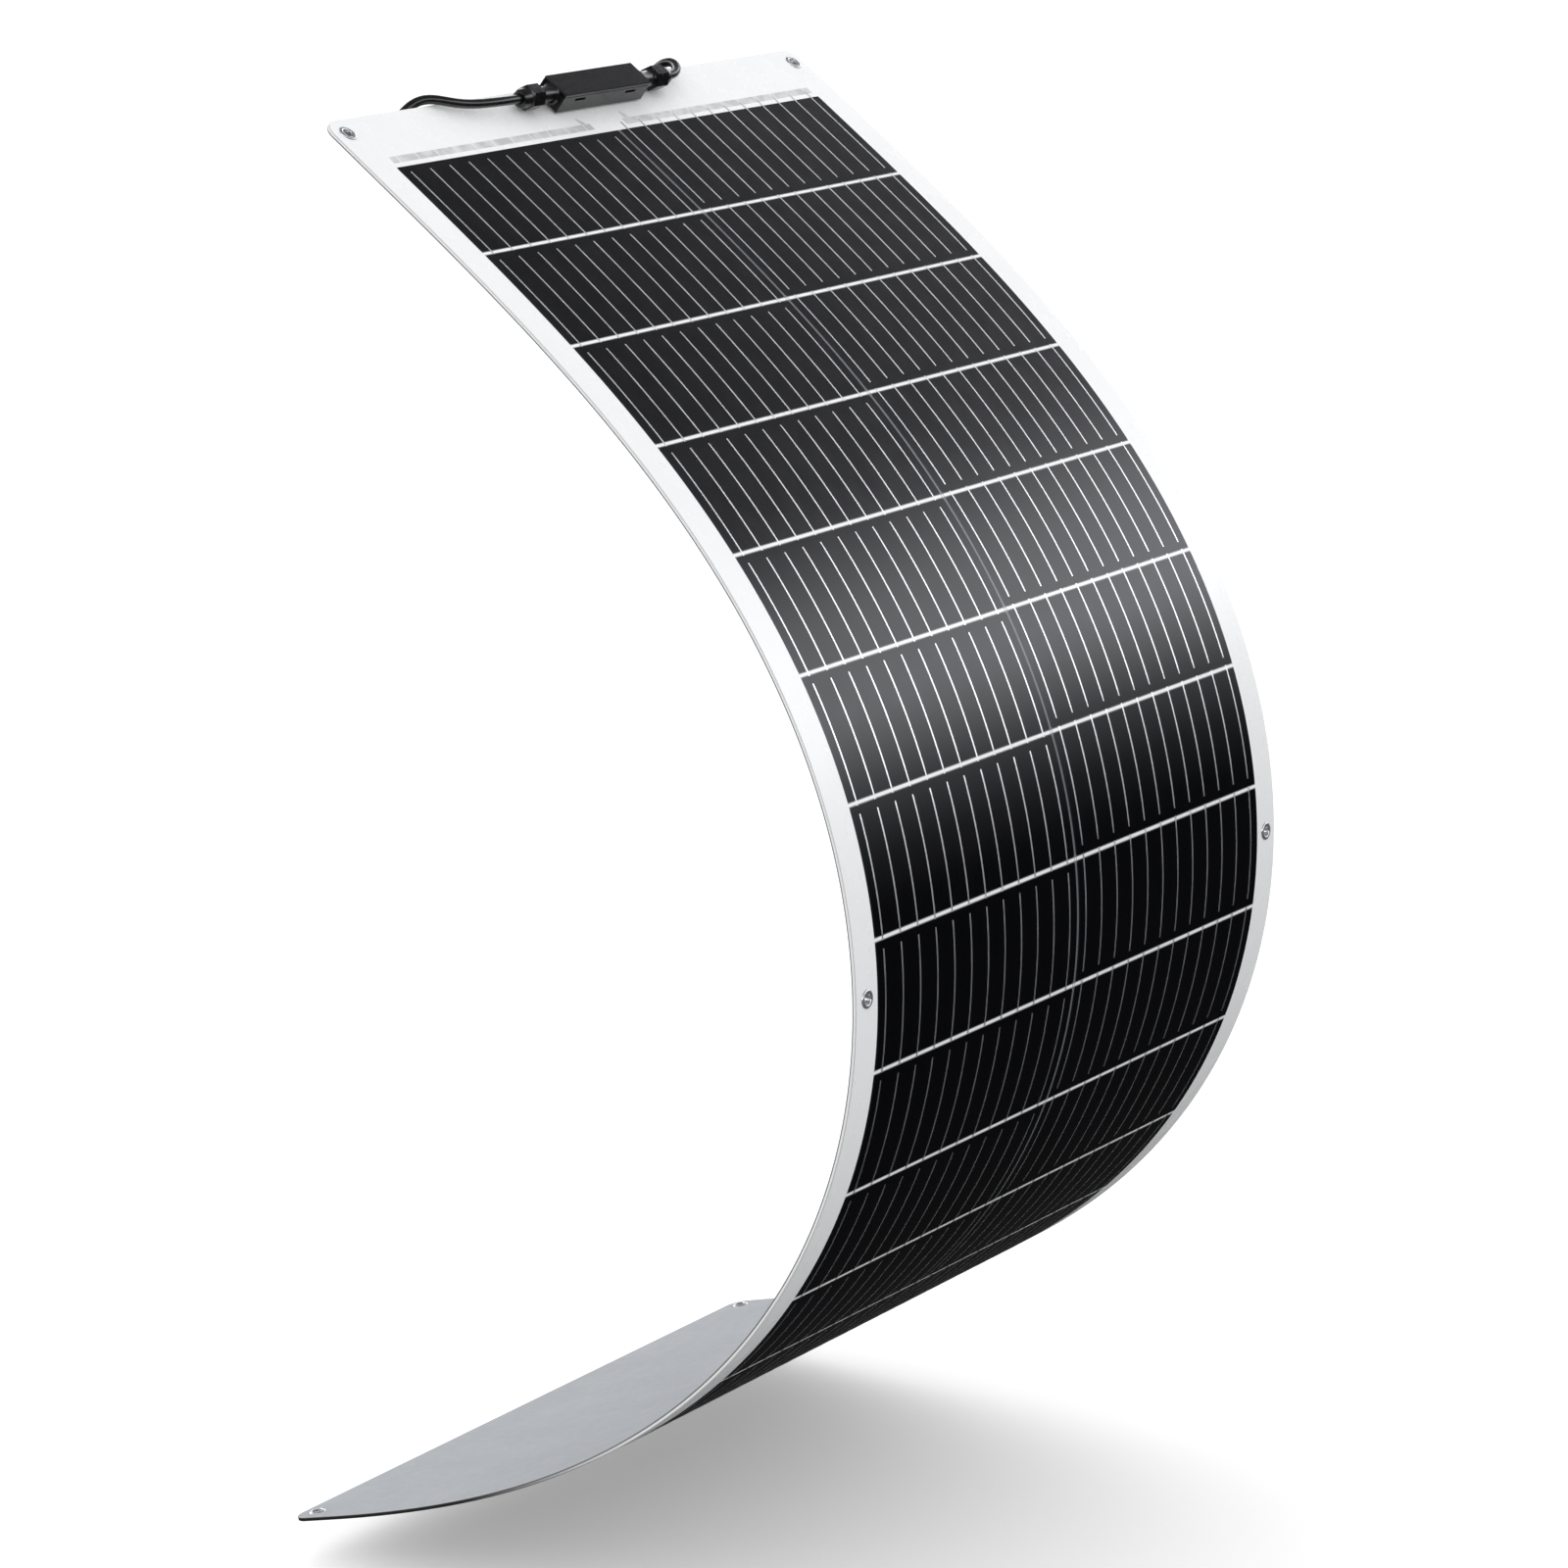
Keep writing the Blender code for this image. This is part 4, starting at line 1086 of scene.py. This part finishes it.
def make_gland_nut(side, sign, paint):
    bore = THREAD_RADIUS + 0.0003
    lip = LEAD_DIAMETER / 2 + 0.0005
    corner = GLAND_FLATS / 2 / math.cos(math.pi / 6)
    outline = [
        (corner - 0.0006, NUT_START),
        (corner, NUT_START + 0.0004),
        (corner, NUT_START + 0.0060),
        (corner - 0.0007, NUT_START + 0.0066),
        (0.0060, NUT_START + 0.0070),
        (0.0056, NUT_END - 0.0024),
        (0.0052, NUT_END - 0.0008),
        (0.0044, NUT_END),
        (lip, NUT_END),
        (lip, THREAD_END + 0.0046),
        (bore, THREAD_END + 0.0041),
        (bore, NUT_START),
    ]
    nut = turned(f"gland_nut_{side}_seen", outline, 48, paint)
    cut_with(nut, hex_prism("flats", NUT_START - 0.001, NUT_END + 0.001, paint), "INTERSECT")
    round_edges(nut, 0.00022, 2, 35)
    nut.matrix_world = gland_matrix(sign)
    settle(nut, "box_plastic", f"{side}_gland_nut", f"gland_nut_{side}")


# ---- the leads


def smooth_curve(points, spacing):
    """Points every spacing or so on a natural cubic spline through the route's points."""
    knots = np.array([tuple(point) for point in points], dtype=float)
    chords = np.linalg.norm(np.diff(knots, axis=0), axis=1)
    times = np.concatenate([[0.0], np.cumsum(chords)])
    count = len(knots)
    system = np.zeros((count, count))
    right = np.zeros((count, 3))
    system[0, 0] = 1.0
    system[-1, -1] = 1.0
    for i in range(1, count - 1):
        before = chords[i - 1]
        after = chords[i]
        system[i, i - 1 : i + 2] = (before, 2 * (before + after), after)
        right[i] = 6 * ((knots[i + 1] - knots[i]) / after - (knots[i] - knots[i - 1]) / before)
    second = np.linalg.solve(system, right)
    steps = max(2, int(round(times[-1] / spacing)))
    result = []
    for time in np.linspace(0.0, times[-1], steps + 1):
        i = min(int(np.searchsorted(times, time, side="right")) - 1, count - 2)
        width = chords[i]
        u = (times[i + 1] - time) / width
        v = 1.0 - u
        point = u * knots[i] + v * knots[i + 1]
        point += ((u**3 - u) * second[i] + (v**3 - v) * second[i + 1]) * width**2 / 6
        result.append(Vector(point))
    return result


def lead_points(side):
    """The whole line of one lead, from the face of its gland nut to its connector."""
    left = side == "left"
    sign = -1 if left else 1
    turns = LEFT_TURNS if left else RIGHT_TURNS
    coil_x = LEFT_COIL_X if left else RIGHT_COIL_X
    coil = []
    for step in range(int(TURN_STEPS * turns) + 1):
        angle = 2 * math.pi * step / TURN_STEPS
        x = coil_x - sign * COIL_PITCH * step / TURN_STEPS
        aside = math.sin(angle) if left else math.cos(angle)
        up = math.cos(angle) if left else -math.sin(angle)
        coil.append(Vector((x, COIL_ACROSS + COIL_RADIUS * aside, COIL_HEIGHT + COIL_RADIUS * up)))
    on = [on_sheet(*place) for place in (LEFT_ON_SHEET if left else RIGHT_ON_SHEET)]
    hanging = [Vector(point) for point in (LEFT_HANGING if left else RIGHT_HANGING)]
    if left:
        lead_in = (coil_x, COIL_ACROSS - COIL_CLEARANCE, COIL_HEIGHT + COIL_RADIUS)
    else:
        lead_in = (coil_x, COIL_ACROSS + COIL_RADIUS, COIL_HEIGHT + COIL_CLEARANCE)
    free = smooth_curve(on + hanging + [Vector(lead_in)] + coil[:1], LEAD_STEP)
    free = [p for p in free if sign * (p.y - BOX_ACROSS) > NUT_END or p.x < BEHIND_EDGE]
    tail_end = LEFT_TAIL_END if left else RIGHT_TAIL_END
    last = coil[-1]
    tail = [Vector((last.x, last.y, z)) for z in np.linspace(last.z - 0.003, tail_end, 12)]
    exit_point = on_sheet(BOX_ARC, BOX_ACROSS + sign * NUT_END, GLAND_HEIGHT)
    return [exit_point] + free[:-1] + coil + tail


def make_connector(side, x, top, socket, paint):
    """Plug-in connector: a fluted cap nut above, a body with two ridges, a socket or a nose below."""
    r = CONNECTOR_RADIUS
    foot = -CONNECTOR_LENGTH
    outline = [(0, 0), (0.0040, 0), (0.0046, -0.0004), (0.0062, -0.0030), (r - 0.0004, -0.0056)]
    outline += [(r, -0.0062), (r, -0.0184), (r - 0.0005, -0.0190), (0.0070, -0.0196)]
    outline += [(0.0066, -0.0200)]
    if socket:
        roof = foot + 0.016
        outline += [(0.0066, -0.0255), (0.0072, -0.0265), (r, -0.0285), (r, -0.0380)]
        outline += [(r - 0.0005, -0.0384), (r - 0.0005, -0.0396), (r, -0.0400)]
        outline += [(r, foot + 0.0006), (r - 0.0006, foot)]
        outline += [(0.0054, foot), (0.0050, foot + 0.0004), (0.0050, roof), (0, roof)]
    else:
        outline += [(0.0066, -0.0220), (0.0070, -0.0224), (0.0070, -0.0336), (0.0064, -0.0344)]
        outline += [(0.0044, -0.0350), (0.0044, -0.0400), (0.0040, -0.0404), (0.0040, -0.0416)]
        outline += [(0.0044, -0.0420)]
        outline += [(0.0044, foot + 0.0014), (0.0036, foot), (0.0020, foot)]
        outline += [(0.0020, foot + 0.004), (0, foot + 0.004)]
    place = Matrix.Translation((x, COIL_ACROSS + COIL_RADIUS, top))
    flutes = (14, 0.0006, -0.0190, -0.0050)
    made = turned(f"connector_{side}_seen", outline, 84, paint, place, flutes)
    settle(made, "connectors", "row_01", f"connector_{side}")
    return made


def make_tie(paint):
    """Cable tie round both coils, with its head on the open side."""
    low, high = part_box("cable_tie")
    bars = 0.0011
    work = bmesh.new()
    near = low.y + 0.0002
    far = high.y - 0.0002
    for a, b in (
        ((low.x, near, low.z), (high.x, far, low.z + bars)),
        ((low.x, near, high.z - bars), (high.x, far, high.z)),
        ((low.x, near, low.z), (low.x + bars, far, high.z)),
        ((high.x - bars, near, low.z), (high.x, far, high.z)),
    ):
        box_into(work, a, b, 0.0003)
    head_low = (low.x - 0.0016, low.y - 0.0006, low.z + 0.0026)
    head_high = (low.x + 0.0012, high.y + 0.0006, low.z + 0.0070)
    box_into(work, head_low, head_high, 0.0005)
    made = add_object("cable_tie_seen", mesh_of("cable_tie_seen", work), paint)
    settle(made, "tie", "row_01", "cable_tie")
    return made


def make_leads(jacket, plastic, nylon):
    ends = {
        "left": (LEFT_COIL_X + LEFT_TURNS * COIL_PITCH, LEFT_TAIL_END),
        "right": (RIGHT_COIL_X - RIGHT_TURNS * COIL_PITCH, RIGHT_TAIL_END),
    }
    tie = make_tie(nylon)
    for side, (x, tail_end) in ends.items():
        socket = side == "left"
        points = lead_points(side)
        line = bpy.data.curves.new(f"lead_{side}", "CURVE")
        line.dimensions = "3D"
        line.bevel_depth = LEAD_DIAMETER / 2
        line.bevel_resolution = 6
        line.use_fill_caps = True
        spline = line.splines.new("POLY")
        spline.points.add(len(points) - 1)
        for slot, point in zip(spline.points, points):
            slot.co = (*point, 1.0)
        lead = add_object(f"lead_{side}", line, jacket)
        for part in line.splines:
            part.use_smooth = True
        connector = make_connector(side, x, tail_end, socket, plastic)
        nodes = [f"cable_{side}", f"coil_{side}", f"tail_{side}"]
        settle(lead, "cable_jacket", "row_01", *nodes)


# ---- camera, light and floor


def make_camera():
    data = bpy.data.cameras.new("camera")
    data.sensor_width = 36.0
    data.lens = CAMERA_LENS
    camera = add_object("camera", data)
    camera.location = CAMERA_PLACE
    camera.rotation_euler = (math.radians(90.0 - CAMERA_DROP), 0.0, math.radians(CAMERA_AZIMUTH))
    bpy.context.scene.camera = camera


def area_light(name, place, target, size, power):
    """Soft light that no reflection shows."""
    data = bpy.data.lights.new(name, "AREA")
    data.shape = "RECTANGLE"
    data.size = size[0]
    data.size_y = size[1]
    data.energy = power
    light = add_object(name, data)
    light.location = place
    light.visible_glossy = False
    aim = Vector(target) - Vector(place)
    light.rotation_euler = aim.to_track_quat("-Z", "Y").to_euler()


def make_world():
    """White studio. What it shows in reflections is dim overhead, pale in a band and dark below."""
    world = bpy.data.worlds.new("studio")
    world.use_nodes = True
    bpy.context.scene.world = world
    tree = world.node_tree
    ground = tree.nodes["Background"]
    place = tree.nodes.new("ShaderNodeTexCoord")
    split = tree.nodes.new("ShaderNodeSeparateXYZ")
    lift = tree.nodes.new("ShaderNodeMapRange")
    lift.inputs["From Min"].default_value = -1.0
    lift.inputs["From Max"].default_value = 1.0
    ramp = tree.nodes.new("ShaderNodeValToRGB")
    stops = ramp.color_ramp.elements
    while len(stops) < len(REFLECTED):
        stops.new(0.5)
    for stop, (rise, grey) in zip(stops, REFLECTED):
        stop.position = (rise + 1.0) / 2
        stop.color = (grey, 1.01 * grey, 1.06 * grey, 1.0)
    tree.links.new(place.outputs["Generated"], split.inputs[0])
    tree.links.new(split.outputs["Z"], lift.inputs["Value"])
    tree.links.new(lift.outputs["Result"], ramp.inputs["Fac"])
    glossy = tree.nodes.new("ShaderNodeLightPath").outputs["Is Glossy Ray"]
    evenly = WORLD_LIGHT / REFLECTION
    shown = mix_node(tree, glossy, (evenly, evenly, evenly), ramp.outputs["Color"])
    tree.links.new(shown, ground.inputs["Color"])
    ground.inputs["Strength"].default_value = REFLECTION


def make_stage():
    """Pale floor under the sheet, and the soft lights."""
    work = bmesh.new()
    bmesh.ops.create_grid(work, x_segments=8, y_segments=8, size=30.0)
    floor = add_object("floor", mesh_of("floor", work), pale_floor())
    floor.location = (0.0, 0.0, CAD_BOX[0][2] - FLOOR_BELOW)
    floor.visible_glossy = False
    for name, settings in LIGHTS.items():
        area_light(name, *settings)


def main():
    bpy.context.scene.view_settings.view_transform = "Standard"
    make_camera()
    jacket = moulded("cable_jacket", (0.004, 0.004, 0.004), 0.22, 600.0, 0.04, 0.6)
    connector_plastic = moulded("connector_plastic", (0.014, 0.014, 0.015), 0.42, 1300.0, 0.2)
    nylon = moulded("black_nylon", (0.018, 0.018, 0.018), 0.45, 900.0, 0.2)
    make_leads(jacket, connector_plastic, nylon)

    film = white_film()
    back = grey_back()
    edge = cut_edge()
    black = silicon()
    silver = silver_wire()
    ghost = ghost_ribbon()
    for tile in range(ROWS + 1):
        make_sheet_tile(tile, film, back, edge)
        make_cells_tile(tile, black)
        make_wires_tile(tile, silver)
    make_top_ribbon("left", -1, LEFT_TAB_ACROSS, ghost)
    make_top_ribbon("right", 1, RIGHT_TAB_ACROSS, ghost)
    make_bottom_ribbon(ghost)
    make_eyelets(polished_steel())

    plastic = moulded("box_plastic", (0.0035, 0.0035, 0.0038), 0.14, 900.0, 0.02, 0.40)
    nut_plastic = moulded("nut_plastic", (0.004, 0.004, 0.0045), 0.20, 700.0, 0.05, 0.65)
    make_box_base(plastic)
    make_box_lid(plastic)
    for side, sign in (("left", -1), ("right", 1)):
        make_gland_body(side, sign, nut_plastic)
        make_gland_nut(side, sign, nut_plastic)

    rubber = moulded("seal_rubber", (0.045, 0.045, 0.045), 0.7, 500.0, 0.3)
    epoxy = moulded("diode_epoxy", (0.03, 0.03, 0.03), 0.5, 700.0, 0.2)
    carried = {
        "gland_seal_left": rubber,
        "gland_seal_right": rubber,
        "bypass_diode": epoxy,
        "terminal_left": tinned(),
        "terminal_right": tinned(),
        "jbox_adhesive": silicone(),
    }
    for node, paint in carried.items():
        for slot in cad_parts[node].material_slots:
            slot.material = paint

    make_world()
    make_stage()


main()
